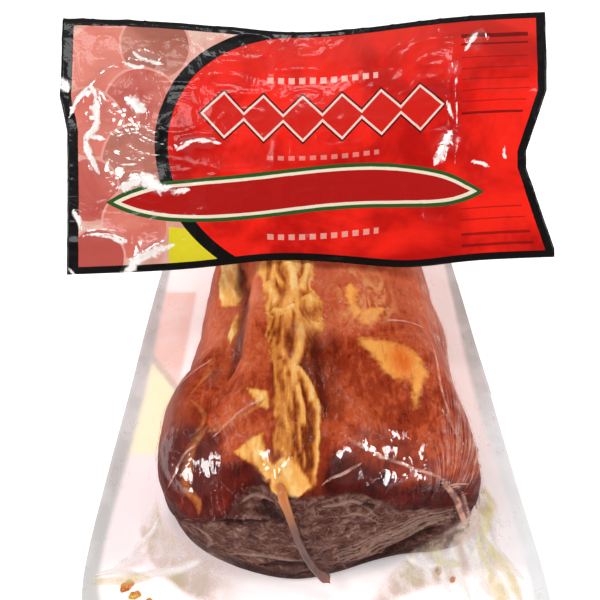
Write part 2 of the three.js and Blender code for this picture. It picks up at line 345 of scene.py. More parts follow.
def loin_surface(reach, turn, groove_depth=GROOVE_DEPTH):
    """The meat's smooth skin: reach 0 at the crown, TOP_SHARE at its widest level and 1 underneath."""
    spoke = outline_at(turn) - LOIN_CENTRE
    radius = np.hypot(spoke[..., 0], spoke[..., 1])
    endwise = np.abs(spoke[..., 1]) / radius
    near = spoke[..., 1] < 0
    bluntness = SIDE_BLUNTNESS + (np.where(near, NEAR_BLUNTNESS, FAR_BLUNTNESS) - SIDE_BLUNTNESS) * endwise**3
    angle = dome_angle(np.clip(reach / TOP_SHARE, 0, 1), bluntness)
    out, up = np.sin(angle) ** (2 / bluntness), np.cos(angle)
    below = np.clip((reach - TOP_SHARE) / (1 - TOP_SHARE), 0, 1) * np.pi / 2
    right_corner = ease(spoke[..., 0], 10, 40) * ease(-spoke[..., 1], 10, 40)
    tuck = TUCK * (1 - 0.6 * near * endwise) * (1 - 0.9 * right_corner)
    out = out - tuck / radius * (1 - np.cos(below))
    x = LOIN_CENTRE[0] + out * spoke[..., 0]
    y = LOIN_CENTRE[1] + out * spoke[..., 1]
    rise = crown_at(x, y, groove_depth) - WIDEST_LEVEL
    z = WIDEST_LEVEL + rise * up - (WIDEST_LEVEL - UNDERSIDE) * np.sin(below)
    return np.stack([x, y, z], axis=-1)


def down_the_face(points):
    """Plan y on the top, running on downwards over the near shoulder and the cut face."""
    y, z = points[..., 1], points[..., 2]
    return y - (1 - ease(y, -60, -50)) * np.maximum(0, WRAP_LEVEL - z)


# What shows on the loin. Places are plan x and the distance down the face.

FAT_LEFT = [
    (-78, -10), (-70, -11.5), (-56, -12), (-46, -13), (-31, -14), (-18, -15), (0, -17), (16, -20), (60, -22),
]
FAT_RIGHT = [
    (-78, 1), (-64, 2.4), (-50, 2.2), (-36, 0), (-26, 1), (-18, 4.5), (-8, 5), (0, 0.5), (16, 0), (60, 3),
]
FAT_FOOT = -77.5
FAT_PATCHES = [
    [(-23.5, -65), (-14, -61), (-12, -69), (-9.5, -72), (-13, -75), (-17, -70)],
    [(-21, -45.5), (-13.5, -50), (-12.5, -56.5), (-17, -54)],
    [(-28, 36), (-25.5, 11), (-27.5, 2), (-33, 5), (-36, 20), (-36, 38)],
    [(-27, 2), (-25.8, -12), (-27, -20), (-29.5, -12)],
    [(-13, -71.5), (-9.6, -68.5), (-5.4, -70), (0, -75.5), (-4.5, -80), (-6.6, -85), (-10.2, -85),
     (-11.4, -79)],
]
STRANDS = [
    ([(-3, -19), (-4, -34), (-6, -43), (-6.5, -50)], 4.0, 0.95),
    ([(-12.4, -24), (-12.3, -36), (-11.4, -48), (-10.8, -60), (-10.2, -69)], 1.7, 0.62),
    ([(-10.9, -26), (-10.7, -40), (-9.9, -52), (-9.4, -64), (-8.8, -71)], 1.5, 0.5),
    ([(-9.2, -22), (-9.2, -38), (-8.5, -50), (-8.1, -62), (-7.4, -71)], 1.9, 0.72),
    ([(-7.6, -30), (-7.4, -44), (-6.8, -56), (-6.4, -66), (-4, -73)], 1.6, 0.55),
    ([(-5, -40), (-3, -44), (-0.6, -48.5), (0.2, -53)], 3.8, 1.0),
    ([(-5, -47), (-4, -53), (-2.4, -60)], 2.6, 0.95),
    ([(1.2, -49), (1.4, -62), (0.8, -76)], 2.2, 1.0),
    ([(-11, -63), (-8, -68), (-5, -72), (0.5, -76.5)], 2.2, 0.75),
    ([(-4.4, -56), (-3.8, -64), (-2.2, -72)], 1.3, 0.6),
    ([(-14.2, -18), (-14.2, -28), (-13.8, -38)], 2.0, 0.7),
    ([(-6, -73), (-7, -78), (-8.4, -83)], 2.4, 0.7),
    ([(-1, -74), (-4, -79), (-7, -83.5)], 2.2, 0.8),
    ([(-12, -72), (-10, -78), (-9.4, -83)], 2.2, 0.8),
]
KNOBS = [
    ([(-4, -11), (0, -7), (4, -9.5), (4.4, -14), (1.5, -19), (-3, -22)], 4.4, 0.95),
    ([(-13, -14), (-9, -17), (-5, -15)], 3.4, 0.85),
    ([(-16, 3), (-13, -6), (-11, -13)], 4.4, 0.85),
    ([(-9, 14), (-7, 4), (-6, -6)], 4.6, 0.95),
    ([(-2, 12), (-2.5, 2), (-4, -5)], 3.6, 0.9),
    ([(-12, 14), (-12, 6), (-10, -4)], 2.6, 0.75),
]
WARM_FIELDS = [
    [(-24, 12), (-17, 2), (-15.5, -16), (-14.5, -32), (-14, -46), (-21, -45), (-25, -33), (-25.5, -14)],
    [(-31, -56), (-24, -58), (-16, -55), (-14, -50), (-19, -46.5), (-27, -48), (-33, -52)],
    [(-26, -62), (-18, -59.5), (-13.4, -58), (-13.4, -61.5), (-19, -65), (-24, -65)],
]
STAINS = [
    [(15, -27), (25, -29.5), (30, -31.5), (32.5, -34), (35, -39), (33, -43.4), (31.8, -50), (30.3, -49),
     (30, -42), (25, -43), (22, -40), (19.5, -36), (17, -31.5)],
    [(12, -2), (14, 0.5), (16, -3), (15, -9), (17.5, -13), (14.5, -16.5), (12.2, -9)],
    [(16.5, -13), (21, -11), (24.5, -10.5), (22.5, -15), (19, -20), (15.5, -19.5)],
]
STAIN_CORE = (27.5, -36.5)
MARBLED_PLACE = (18, -5)
SEAMS = [
    ([(-13.4, -51.4), (-18.5, -54.9), (-23.8, -56.8), (-29.4, -56.6), (-32.6, -56.8)], 1.5),
    ([(-32.4, -54.3), (-33.9, -56.7), (-36.2, -63.3), (-36.7, -72.3), (-36.8, -79.4), (-34.1, -84),
      (-33.6, -91)], 2.4),
    ([(-36, -24), (-33, -34), (-38, -43)], 1.0),
    ([(-38, -44), (-33, -50), (-36, -57)], 1.2),
]
# Painted shade along the grooves: each line has its places and a width.
DARK_LINES = [
    ([(-27.4, 30), (-26.2, 16), (-24.8, 6), (-24.4, -2), (-23.8, -20), (-25, -32), (-27.6, -38)], 4.4),
    ([(-46, -97), (-33, -94), (-21, -92), (-12, -91)], 2.6),
    ([(-14, -81), (-12, -87), (-8, -92)], 5.0),
    ([(13, -86), (18, -85)], 1.8),
    ([(-16, -116), (-6, -115), (3, -115)], 4.4),
    ([(10, -121), (21, -115), (30, -106), (40, -99.5)], 3.2),
    ([(2, -19), (1.5, -30), (2.5, -42), (3.5, -56)], 3.0),
]
FACE_EDGE = [
    (-50, -92), (-44, -97), (-38, -97), (-30, -94.5), (-26, -91), (-23, -84), (-18, -77), (-14, -76),
    (-10, -79), (-4, -80), (7, -79), (13, -80), (19, -83), (22, -86), (25, -90.5), (35, -89.5), (55, -90),
]
FACE_PALE_LINES = [
    ([(-28, -110.5), (-15, -110), (-3, -109.5)], 1.3),
    ([(-44, -94.5), (-33, -93), (-22, -92.5)], 0.8),
    ([(-36, -98), (-31, -104), (-33, -110)], 1.4),
    ([(2, -84), (10, -83), (20, -91)], 1.3),
    ([(-21, -84), (-17, -80), (-10, -82)], 1.1),
    ([(5, -88), (14, -90), (22, -96)], 0.8),
]
FACE_FABRIC_UPPER = [(44, -90.5), (33, -93), (26, -96.8), (13.6, -103.6), (4.8, -109.6)]
FACE_FABRIC_LOWER = [(45.6, -94), (36.2, -98.9), (26.7, -106.4), (17.2, -111.6), (9.5, -115.6)]
FACE_FABRIC_THREADS = 12


def face_threads():
    """Fine pale lines that run side by side from the face's right corner down to its foot."""
    draw = np.random.default_rng(9)
    upper, lower = np.array(FACE_FABRIC_UPPER, float), np.array(FACE_FABRIC_LOWER, float)
    threads = []
    for share in np.linspace(0, 1, FACE_FABRIC_THREADS):
        line = upper * (1 - share) + lower * share + draw.uniform(-0.7, 0.7, upper.shape)
        threads.append((line, draw.uniform(0.3, 0.7)))
    return threads


def along_knots(value, knots):
    places, levels = zip(*knots)
    return np.interp(value, places, levels)


def deepest(x, y, patches):
    return np.maximum.reduce([patch_depth(x, y, corners) for corners in patches])


def crests(x, y, lines):
    """Height and brightness of rounded ridges along lines with a width and a brightness, 0 beyond them."""
    height = np.zeros(x.shape)
    shine = np.zeros(x.shape)
    for line, width, brightness in lines:
        distance, along = line_distance(x, y, line)
        ridge = (1 - np.clip(distance / width * 2, 0, 1) ** 2) * between_ends(along, -0.05, 0.12)
        shine = np.where(ridge > height, ridge * brightness, shine)
        height = np.maximum(height, ridge)
    return height, shine


def loin_fields(points):
    """The numbers that the meat's colours and relief are worked out from, one for each point."""
    x, z = points[..., 0], points[..., 2]
    px = x + 0.9 * noise(points, 6.5, 11) + 0.35 * noise(points, 2.6, 13)
    q = down_the_face(points) + 1.6 * noise(points, 6.5, 12)

    band = np.minimum(px - along_knots(q, FAT_LEFT), along_knots(q, FAT_RIGHT) - px)
    band = np.minimum(band, q - FAT_FOOT)
    patches = deepest(px, q, FAT_PATCHES)
    knob, knob_shine = crests(px, q, KNOBS)
    strand, strand_shine = crests(px, q, STRANDS)
    thin = np.stack([px, q * 0.14, z * 0], axis=-1)
    threads = np.clip(0.5 + 0.9 * noise(thin, (1.2, 3, 3), 14), 0, 1) * ease(q, -36, -14)
    slanted = np.stack([px + 0.3 * q, q * 0.2, z * 0], axis=-1)
    layered = ease(patches, -0.4, 0.8) * (0.82 + 0.3 * noise(slanted, (1.5, 2, 2), 15))
    crest = np.maximum.reduce([strand, knob, 0.8 * threads, 0.9 * layered])
    shine = np.maximum.reduce([strand_shine, knob_shine, 0.72 * threads, layered])

    stain = deepest(px, q, STAINS)
    core = bell(np.hypot((px - STAIN_CORE[0]) * 1.2, (q - STAIN_CORE[1]) * 0.7), 5)
    marbled = bell(np.hypot(px - MARBLED_PLACE[0], (q - MARBLED_PLACE[1]) * 0.7), 12)
    face = along_knots(px, FACE_EDGE) - q
    warm = ease(deepest(px, q, WARM_FIELDS), -1.6, 1.6)
    right_band = ease(px, 0, 6) * (1 - ease(-face, 6, 20)) * (1 - ease(px, 50, 60))
    left_lobe = (1 - ease(px, -36, -13)) * (1 - ease(q, -60, -38)) * 0.8
    left_rim = (1 - ease(px, -15, -9)) * (1 - ease(q, -73, -62))
    # Valley: the dent beside the ridge of fat, darkened here as painted shade.
    valley = bell(px - 6, 5) * ease(q, -70, -50) * (1 - ease(q, -26, -12)) * 0.5
    maroon_and_shade = np.clip(np.maximum.reduce([right_band, left_lobe * (1 - 0.8 * warm), left_rim, valley]), 0, 1)
    # The flanks are darkened, the left more than the right, as painted shade.
    side = np.maximum((1 - ease(px, -44, -34)) * 0.8, ease(px, 40, 48) * 0.5) * ease(z, 8, 40)
    return {
        "fat": np.maximum(band, patches), "crest": crest, "shine": shine, "knob": knob, "warm": warm,
        "stain": stain, "core": core, "marbled": marbled, "face": face, "maroon_and_shade": maroon_and_shade, "side": side,
        "seam": line_reach(px, q, SEAMS), "dark": line_reach(px, q, DARK_LINES),
        "pale": line_reach(px, q, FACE_PALE_LINES + face_threads()),
        # The foot of the meat, up to 11 mm, which takes painted shade.
        "down": q, "low": 1 - ease(z, 5, 11),
    }


def broad_relief(points, fields, groove_share=1.0):
    """How far the meat swells out of its smooth form. The film follows it, but bridges the grooves."""
    on_fat = ease(fields["fat"], -1.0, 1.5)
    lumps = 0.9 * noise(points, 17, 23) + 0.4 * noise(points, 7, 24)
    swell = lumps * (1 - 0.6 * on_fat) + on_fat * (0.5 + 0.5 * noise(points, 5, 22) + 0.9 * fields["knob"])
    grooves = 1.1 * inked(fields["dark"]) + 0.4 * inked(fields["seam"])
    return swell + 0.5 * fields["warm"] - groove_share * grooves


def fine_relief(points, fields):
    """Grooves between strands of fat, the muscle's grain and the creases of the cut face, all inwards."""
    on_fat = ease(fields["fat"], -1.0, 1.5)
    on_face = ease(fields["face"], -2, 2)
    grain = noise(points, (2.2, 14, 6), 21) - 1
    creased = ridges(points + 3 * noise(points, 9, 26)[..., None], (16, 7, 3.4), 25)
    depth = 0.16 * grain * (1 - on_face) + 0.8 * (fields["crest"] - 1) * on_fat
    depth = depth + on_face * (0.6 * (creased - 1) + 0.4 * (inked(fields["pale"]) - 1))
    return depth + 0.1 * noise(points, 2.0, 27)


def under_cap(points, rows, columns):
    """A point under the middle, and the faces that close the meat's underside to it."""
    middle = np.array([[*LOIN_CENTRE, UNDERSIDE]])
    count = len(points)
    rim = grid_rim(rows, columns)
    faces = [[b, a, count] for a, b in zip(rim, rim[1:] + rim[:1])]
    return np.concatenate([points, middle]), faces


def smoked_loin():
    columns, rows = LOIN_GRID
    reach, turn = disc_grid(columns, rows, LOIN_CROWDING)
    smooth_skin = loin_surface(reach, turn)
    fields = loin_fields(smooth_skin)
    settle = ease(smooth_skin[..., 2], UNDERSIDE, 8)
    lift = settle * (broad_relief(smooth_skin, fields) + fine_relief(smooth_skin, fields))
    skin = (smooth_skin + grid_normals(smooth_skin) * lift[..., None]).reshape(-1, 3)
    points, cap = under_cap(skin, rows, columns)
    flat = {name: np.append(values.ravel(), 0) for name, values in fields.items()}
    return mesh_object("smoked_loin", points, grid_faces(rows, columns) + cap, flat)


# Materials are built from a few short node helpers

WHITE = (255, 255, 255)


class Nodes:
    """A material's node tree, with calls that return sockets and take sockets, numbers, colours or names."""

    def __init__(self, name):
        self.material = bpy.data.materials.new(name)
        self.material.use_nodes = True
        self.tree = self.material.node_tree
        self.tree.nodes.clear()

    def made(self, kind, inputs=(), output=0, **settings):
        """Adds a node with its inputs filled, in their order or by their names, and returns an output."""
        node = self.tree.nodes.new(kind)
        for key, value in settings.items():
            setattr(node, key, value)
        filled = inputs if isinstance(inputs, dict) else dict(enumerate(inputs))
        for key, value in filled.items():
            self.put(node.inputs[key], value)
        return node.outputs[output]

    def put(self, socket, value):
        """Links or sets a socket. A colour has three numbers from 0 to 255, or four in linear light, and a
        word is the name of one of the piece's fields."""
        if isinstance(value, str):
            value = self.field(value)
        if isinstance(value, bpy.types.NodeSocket):
            self.tree.links.new(value, socket)
        elif socket.type == "RGBA" and len(value) == 3:
            socket.default_value = (*linear(value), 1)
        else:
            socket.default_value = value

    def field(self, name):
        return self.made("ShaderNodeAttribute", output="Fac", attribute_name=name)

    def vector_field(self, name):
        return self.made("ShaderNodeAttribute", output="Vector", attribute_name=name)

    def math(self, operation, *values):
        return self.made("ShaderNodeMath", values, operation=operation)

    times = partialmethod(math, "MULTIPLY")
    plus = partialmethod(math, "ADD")
    minus = partialmethod(math, "SUBTRACT")
    scaled = partialmethod(math, "MULTIPLY_ADD")
    larger = partialmethod(math, "MAXIMUM")
    absolute = partialmethod(math, "ABSOLUTE")
    less = partialmethod(math, "LESS_THAN")
    more = partialmethod(math, "GREATER_THAN")

    def distance(self, first, second):
        return self.absolute(self.minus(first, second))

    def stirred(self, value, texture, share):
        """The value, raised and lowered by a share of a texture about its middle level."""
        return self.scaled(self.minus(texture, 0.5), share, value)

    def within(self, value, low, high):
        return self.times(self.more(value, low), self.less(value, high))

    def squared(self, value, middle, half):
        """The square of the distance from the middle, 1 at half a width from it."""
        part = self.scaled(value, 1 / half, -middle / half)
        return self.times(part, part)

    def part(self, vector, axis):
        return self.made("ShaderNodeSeparateXYZ", [vector], axis)

    def ramp(self, value, low, high, start=0.0, end=1.0):
        levels = (value, low, high, start, end)
        return self.made("ShaderNodeMapRange", levels, interpolation_type="SMOOTHSTEP")

    def mix(self, share, first, second):
        return self.made("ShaderNodeMix", {0: share, 6: first, 7: second}, 2, data_type="RGBA")

    def steps(self, value, *stops):
        """A run of colours, each reached at its own level of the value."""
        (low, colour), *rest = stops
        for high, next_colour in rest:
            colour = self.mix(self.ramp(value, low, high), colour, next_colour)
            low = high
        return colour

    def place(self, scale=(1, 1, 1)):
        coordinates = self.made("ShaderNodeTexCoord", output="Object")
        return self.made("ShaderNodeMapping", {"Vector": coordinates, "Scale": scale})

    def inked(self, name, soft=0.4):
        """1 on a line and 0 off it, from the field of its reach."""
        return self.ramp(name, 1 - soft, 1 + soft, 1, 0)

    def noise(self, vector, scale, detail=4.0, rough=0.55, distortion=0.0):
        inputs = {"Vector": vector, "Scale": scale, "Detail": detail, "Roughness": rough,
                  "Distortion": distortion}
        return self.made("ShaderNodeTexNoise", inputs, "Fac")

    def bump(self, height, strength, distance):
        return self.made("ShaderNodeBump", {"Height": height, "Strength": strength, "Distance": distance})

    def vector_math(self, operation, *values):
        return self.made("ShaderNodeVectorMath", values, operation=operation)

    def facets(self, normal, vector, scale, lean, share):
        """The normal, leaned at random facet by facet where share is 1, as on crinkled film."""
        warp = self.made("ShaderNodeTexNoise", {"Vector": vector, "Scale": scale * 0.9}, "Color")
        place = self.vector_math("MULTIPLY_ADD", warp, (1.6 / scale,) * 3, vector)
        cells = self.made("ShaderNodeTexVoronoi", {"Vector": place, "Scale": scale}, "Color")
        tilt = self.vector_math("MULTIPLY_ADD", cells, (2 * lean,) * 3, (-lean,) * 3)
        leaned = self.made("ShaderNodeVectorMath", {0: tilt, "Scale": share}, operation="SCALE")
        return self.vector_math("NORMALIZE", self.vector_math("ADD", normal, leaned))

    def shader(self, kind, **inputs):
        return self.made(kind, {name.replace("_", " "): value for name, value in inputs.items()})

    def principled(self, colour, roughness, **inputs):
        return self.shader("ShaderNodeBsdfPrincipled", Base_Color=colour, Roughness=roughness, **inputs)

    def blend(self, share, first, second):
        return self.made("ShaderNodeMixShader", (share, first, second))

    def finish(self, surface):
        output = self.tree.nodes.new("ShaderNodeOutputMaterial")
        self.tree.links.new(surface, output.inputs["Surface"])
        return self.material


def muscle_colour(n, blotch, fine, streak, ragged):
    """Red-brown muscle, paler where it bulges, maroon in places, dark along the cut, with painted shade by
    the fat and on the flanks and painted light near the fold.
    """
    tone = n.scaled(blotch, 0.56, 0.205)
    tone = n.stirred(tone, streak, 0.42)
    tone = n.stirred(tone, fine, 0.36)
    tone = n.scaled("warm", 0.05, tone)
    # Painted light: the tone rises towards the fold, against the fold's shade.
    tone = n.plus(tone, n.ramp("down", -60, 0, -0.05, 0.05))
    muscle = n.steps(tone, (0.26, (104, 28, 14)), (0.4, (156, 54, 26)), (0.52, (193, 84, 46)),
                     (0.64, (213, 110, 70)), (0.8, (233, 154, 114)))
    # More painted light: paler and pinker towards the fold.
    muscle = n.mix(n.ramp("down", -30, 10, 0, 0.28), muscle, (224, 116, 86))
    # Painted shade on the flanks.
    side = n.times("side", n.ramp(streak, 0.3, 0.6, 0.5, 1.0))
    muscle = n.mix(side, muscle, (128, 56, 40))

    # Maroon meat, together with the painted shade of the valley beside the fat.
    maroon_and_shade = n.ramp(n.scaled(ragged, 0.2, "maroon_and_shade"), 0.15, 0.85)
    deep = n.steps(tone, (0.3, (48, 9, 6)), (0.5, (102, 24, 15)), (0.72, (150, 52, 33)))
    muscle = n.mix(maroon_and_shade, muscle, deep)
    return n.mix(n.ramp("face", -7, -0.5, 0, 0.6), muscle, (44, 12, 9))


def fat_colour(n, blotch, fine, streak):
    """Golden fat, pale on its crests and brown between them, with painted light towards the fold."""
    lit = n.stirred("shine", streak, 0.9)
    lit = n.stirred(lit, blotch, 0.5)
    lit = n.stirred(lit, fine, 0.4)
    # Painted light: the fat is made lighter towards the fold, against its shade.
    lit = n.plus(lit, n.ramp("down", -40, -10, 0.08, 0.17))
    return n.steps(lit, (0.05, (112, 46, 18)), (0.32, (172, 86, 34)), (0.6, (214, 134, 60)),
                   (0.88, (246, 178, 92)), (1.15, (255, 214, 140)))


def with_stains(n, colour, fine, streak, ragged):
    """The surface with its orange stains, pale veins and seams, and painted shade along its grooves."""
    stain = n.mix("core", (255, 178, 86), (232, 108, 36))
    stain = n.mix(n.ramp(streak, 0.5, 0.7, 0, 0.6), stain, (255, 196, 104))
    on_stain = n.ramp(n.scaled(ragged, 1.5, "stain"), -1.4, 1.3, 0, 0.95)
    on_stain = n.times(on_stain, n.ramp(streak, 0.3, 0.45, 0.75, 1))
    colour = n.mix(on_stain, colour, stain)
    veins = n.ramp(n.noise(n.place((1, 0.45, 1)), 170, 4, 0.6, 2.2), 0.43, 0.66, 0, 0.8)
    veins = n.times(veins, n.ramp("marbled", 0.25, 0.6))
    colour = n.mix(veins, colour, (232, 158, 100))
    seam = n.times(n.inked("seam", 0.8), n.ramp(fine, 0.35, 0.6, 0.45, 0.95))
    colour = n.mix(seam, colour, (204, 116, 60))
    return n.mix(n.times(n.inked("dark", 0.8), 0.85), colour, (84, 24, 15))


def face_colour(n, blotch):
    """The grey-brown grain of the cut face, with its red patches, its pale lines and painted shade along its
    grooves.
    """
    face_grain = n.noise(n.place((0.7, 1, 1)), 480, 6, 0.75, 0.8)
    face = n.steps(face_grain, (0.34, (48, 19, 15)), (0.46, (89, 54, 47)), (0.58, (126, 88, 77)),
                   (0.7, (182, 144, 128)))
    face = n.mix(n.ramp(blotch, 0.48, 0.66, 0, 0.75), face, (72, 24, 17))
    face = n.mix(n.times(n.inked("pale", 0.7), 0.45), face, (180, 148, 132))
    return n.mix(n.times(n.inked("dark", 0.8), 0.85), face, (38, 14, 12))


def meat_material():
    n = Nodes("smoked_meat")
    even = n.place()
    blotch = n.noise(even, 62, 4, 0.6)
    fine = n.noise(even, 520, 5, 0.65)
    streak = n.noise(n.place((1, 0.26, 0.6)), 330, 5, 0.65, 1.4)
    ragged = n.scaled(n.noise(even, 260, 4, 0.6), 3.2, -1.6)

    colour = muscle_colour(n, blotch, fine, streak, ragged)
    on_fat = n.ramp(n.plus("fat", ragged), -0.6, 0.7)
    colour = n.mix(on_fat, colour, fat_colour(n, blotch, fine, streak))
    colour = with_stains(n, colour, fine, streak, ragged)
    on_face = n.ramp(n.plus("face", ragged), -0.9, 0.9)
    colour = n.mix(on_face, colour, face_colour(n, blotch))
    # Painted shade where the meat meets the table.
    colour = n.mix(n.times("low", 0.8), colour, (44, 20, 17))
    relief = n.bump(n.scaled(fine, 0.8, streak), 0.5, 0.0005)
    return n.finish(n.principled(
        colour, 0.55, Specular_IOR_Level=0.06, Normal=relief,
        Subsurface_Weight=0.05, Subsurface_Scale=0.003, Subsurface_Radius=(1.0, 0.35, 0.2),
    ))


# The strip of sinew that hangs down the cut face

STRIP_ROUTE = [
    (-9.6, -72.8, 46.4), (-8.9, -77.2, 45.8), (-8.4, -79, 43.8), (-7.3, -80.4, 41), (-6.2, -81.7, 37.3),
    (-4.6, -83, 31.4), (-2.6, -83.6, 24.2), (0.1, -84, 17.2), (2.5, -84.3, 13.6), (4.8, -84.6, 10.4),
]
STRIP_SIDES = 20


def sinew_strip():
    """A flattened strip that widens where it leaves the fat and at its foot."""
    route = smooth_line(STRIP_ROUTE, 16)
    share = np.linspace(0, 1, len(route))
    ahead = np.gradient(route, axis=0)
    ahead /= np.linalg.norm(ahead, axis=1, keepdims=True)
    across = np.cross(ahead, [0.0, -0.75, 0.66])
    across /= np.linalg.norm(across, axis=1, keepdims=True)
    out = np.cross(across, ahead)
    half = 1.1 + 0.3 * bell(share - 0.2, 0.12) + 0.55 * bell(share - 0.93, 0.09)
    half = half * (1 - 0.9 * ease(share, 0.95, 1.0)) * (0.6 + 0.4 * ease(share, 0, 0.12))
    thick = 0.6 + 0.35 * ease(share, 0, 0.2)
    turn = np.linspace(0, 2 * np.pi, STRIP_SIDES, endpoint=False)
    ring = route[:, None] + half[:, None, None] * np.cos(turn)[None, :, None] * across[:, None]
    ring = ring + thick[:, None, None] * np.sin(turn)[None, :, None] * out[:, None]
    ring = ring + 0.18 * noise(ring, (1.2, 4, 5), 31)[..., None] * out[:, None]
    faces = ring_faces(len(route), STRIP_SIDES)
    faces.append(list(range(STRIP_SIDES))[::-1])
    faces.append([(len(route) - 1) * STRIP_SIDES + i for i in range(STRIP_SIDES)])
    return mesh_object("sinew_strip", ring.reshape(-1, 3), faces)


def sinew_material():
    n = Nodes("sinew")
    streak = n.noise(n.place((1, 1, 0.15)), 700, 4, 0.6, 0.3)
    blotch = n.noise(n.place(), 130, 3)
    colour = n.mix(n.ramp(streak, 0.35, 0.65), (66, 30, 22), (102, 54, 40))
    colour = n.mix(n.ramp(blotch, 0.45, 0.7, 0, 0.6), colour, (96, 46, 33))
    height = n.part(n.place(), 2)
    colour = n.mix(n.ramp(height, 0.033, 0.047, 0, 0.95), colour, (206, 122, 56))
    colour = n.mix(n.ramp(height, 0.01, 0.018, 0.6, 0), colour, (158, 88, 62))
    return n.finish(n.principled(colour, 0.32, Normal=n.bump(streak, 0.6, 0.0005)))


# The clear web: tight over the meat, then sloping down to the margin

FILM_OFFSET = 0.5
FILM_GROOVE_DEPTH = 0.4
FILM_SIDE_SHARE = 0.62
FILM_GRID = (230, 340)
FILM_CROWDING = 0.22
MARGIN_LEVEL = 1.35
SLOPE_PROFILE = [(0.5, 23), (1.3, 17), (2.8, 10), (5.0, 5.6), (7.6, 3.2), (10.5, 2.0)]

# How square the pouch's corners are
FAR_CORNERS = 30.0
NEAR_RIGHT_CORNER = 14.0
NEAR_LEFT_CORNER = 9.0

# About how long the way round the loin is, so that ripples along it are sized in mm
ROUND_LENGTH = 340.0

# Creases over the meat, folds in the margin and places of glints, read like the marks on the loin
CREASES = [
    ([(6.6, -61), (11.6, -64.2), (18, -66), (23.7, -68.4), (29.5, -71.6), (35.3, -74.4), (40, -78),
      (47, -84)], 1.7),
    ([(21, -67), (26, -69.3), (31, -72.4), (38, -76)], 0.8),
    ([(1, -76.6), (4.3, -73.5), (8.5, -71.6), (14.5, -68)], 0.9),
    ([(4, -12), (8, -9), (12, -7)], 0.5),
    ([(-46, -93.4), (-37, -93), (-28, -92)], 0.6),
    ([(22, -62), (24, -68)], 0.4),
    ([(47, 20), (48.5, 3), (45.4, -22), (44.5, -36), (46, -50)], 0.9),
    ([(38, -48.8), (42, -55), (46.4, -66)], 0.9),
    ([(39.3, -17), (39.1, -41), (41.4, -51.7), (45, -70)], 0.9),
    ([(22, -19.6), (29, -17.5), (38, -17)], 1.2),
    ([(-32, -29), (-38, -33), (-45, -38)], 1.1),
    ([(-13.4, -51.4), (-22, -56), (-32, -60)], 0.9),
    ([(-32, -60), (-38, -66), (-41, -76), (-46, -88)], 1.0),
    ([(-49, -40), (-50, -56), (-48, -72)], 1.8),
    ([(-18, -19), (-13, -19.4), (-8, -19)], 0.6),
    ([(50, -26), (52, -44), (51, -60), (47, -78)], 2.0),
    ([(51.6, -34), (53, -48), (50, -66)], 1.4),
]
CORNER_FOLDS = [
    ([(37, -76.5), (39, -79.5), (41.6, -84), (44.1, -89.7), (47.5, -98.4), (51, -107)], 1.9),
    ([(39, -79.5), (42.5, -78.6), (48, -79.5)], 0.8),
    ([(43, -78.6), (46, -88), (50, -99)], 0.8),
]
GLINT_ZONES = [
    (18, -65, 47, 9), (30, -68, 38, 10), (-42, -60, 41, 10), (-33, -67, 42, 8), (-12, -72, 49, 6),
    (-3, -27, 59, 5), (2, -25, 54, 4), (-30, -38, 49, 4), (8, -71, 47, 4),
]
PALE_FOLDS = [
    ([(-62.5, -76), (-58, -73.4), (-53.5, -71)], 3.4),
    ([(-69, -78.4), (-62, -77), (-55.4, -78.5), (-51.2, -77.6), (-41.8, -77.4), (-31.8, -77.6)], 2.2),
    ([(41.6, -69), (45, -76.6), (47.8, -86.1)], 2.8),
    ([(46.5, -68.1), (51.9, -78.2), (55.4, -86.1)], 2.4),
    ([(51.4, -68.1), (56, -76.6), (58.9, -84.6)], 2.6),
    ([(32, -73.4), (35, -77), (37.5, -82)], 2.2),
    ([(37, -72), (40, -77), (42, -84)], 2.0),
    ([(28, -76), (37.3, -76.4), (45, -73)], 1.8),
    ([(54, -62), (61, -72), (66, -80)], 2.2),
    ([(-49, -62), (-56, -68), (-60, -76)], 1.8),
    ([(52, -56), (57, -64), (59, -74)], 2.6),
    ([(48, -66), (52, -74), (53.5, -84)], 2.2),
    ([(54, -46), (59, -52), (64, -62)], 2.0),
]
YELLOW_FOLDS = [
    ([(60.1, -46), (60.8, -53.9), (57.4, -60), (55.1, -66.9)], 4.2),
    ([(55.1, -66.9), (57.7, -71), (60.8, -75.4), (62, -81), (62.7, -88)], 3.6),
    ([(50, -64), (53.4, -72), (57, -80)], 2.0),
    ([(-69, -80.4), (-60, -80), (-50, -79)], 2.4),
    ([(38, -70.5), (39, -75), (47, -75.5)], 2.0),
    ([(55, -78), (57, -83), (57.6, -90)], 4.0),
]

# Shares of the way round between which the film stands off the loin's foot as a ledge
LEFT_LEDGE = (0.56, 0.6, 0.655, 0.69)
RIGHT_LEDGE = (0.845, 0.87, 0.93, 0.96)


def footprint_reach(direction):
    """Distance from the loin's centre to the pouch's edge in a direction, with its corners rounded off."""
    half = np.array(FOOTPRINT) / 2
    side = np.where(direction[..., 0] > 0, half[0] - LOIN_CENTRE[0], half[0] + LOIN_CENTRE[0])
    end = np.where(direction[..., 1] > 0, half[1] - LOIN_CENTRE[1], half[1] + LOIN_CENTRE[1])
    near_corners = np.where(direction[..., 0] > 0, NEAR_RIGHT_CORNER, NEAR_LEFT_CORNER)
    power = np.where(direction[..., 1] > 0, FAR_CORNERS, near_corners)
    shape = (np.abs(direction[..., 0]) / side) ** power + (np.abs(direction[..., 1]) / end) ** power
    return shape ** (-1 / power)


def crease_fan(x, y, z, q):
    """A coordinate across the creases that run along the loin's right side and gather at its near corner, the
    distance along them, and how much they show."""
    around = x + 0.8 * np.maximum(0, 50 - z)
    spread = 0.24 + 0.76 * ease(q, -88, -30)
    share = window(around, 39, 47, 70, 78) * ease(q, -87, -72) * (1 - ease(y, 10, 60))
    return np.stack([(around - 56) / spread, q, np.zeros_like(q)], axis=-1) * MM, share


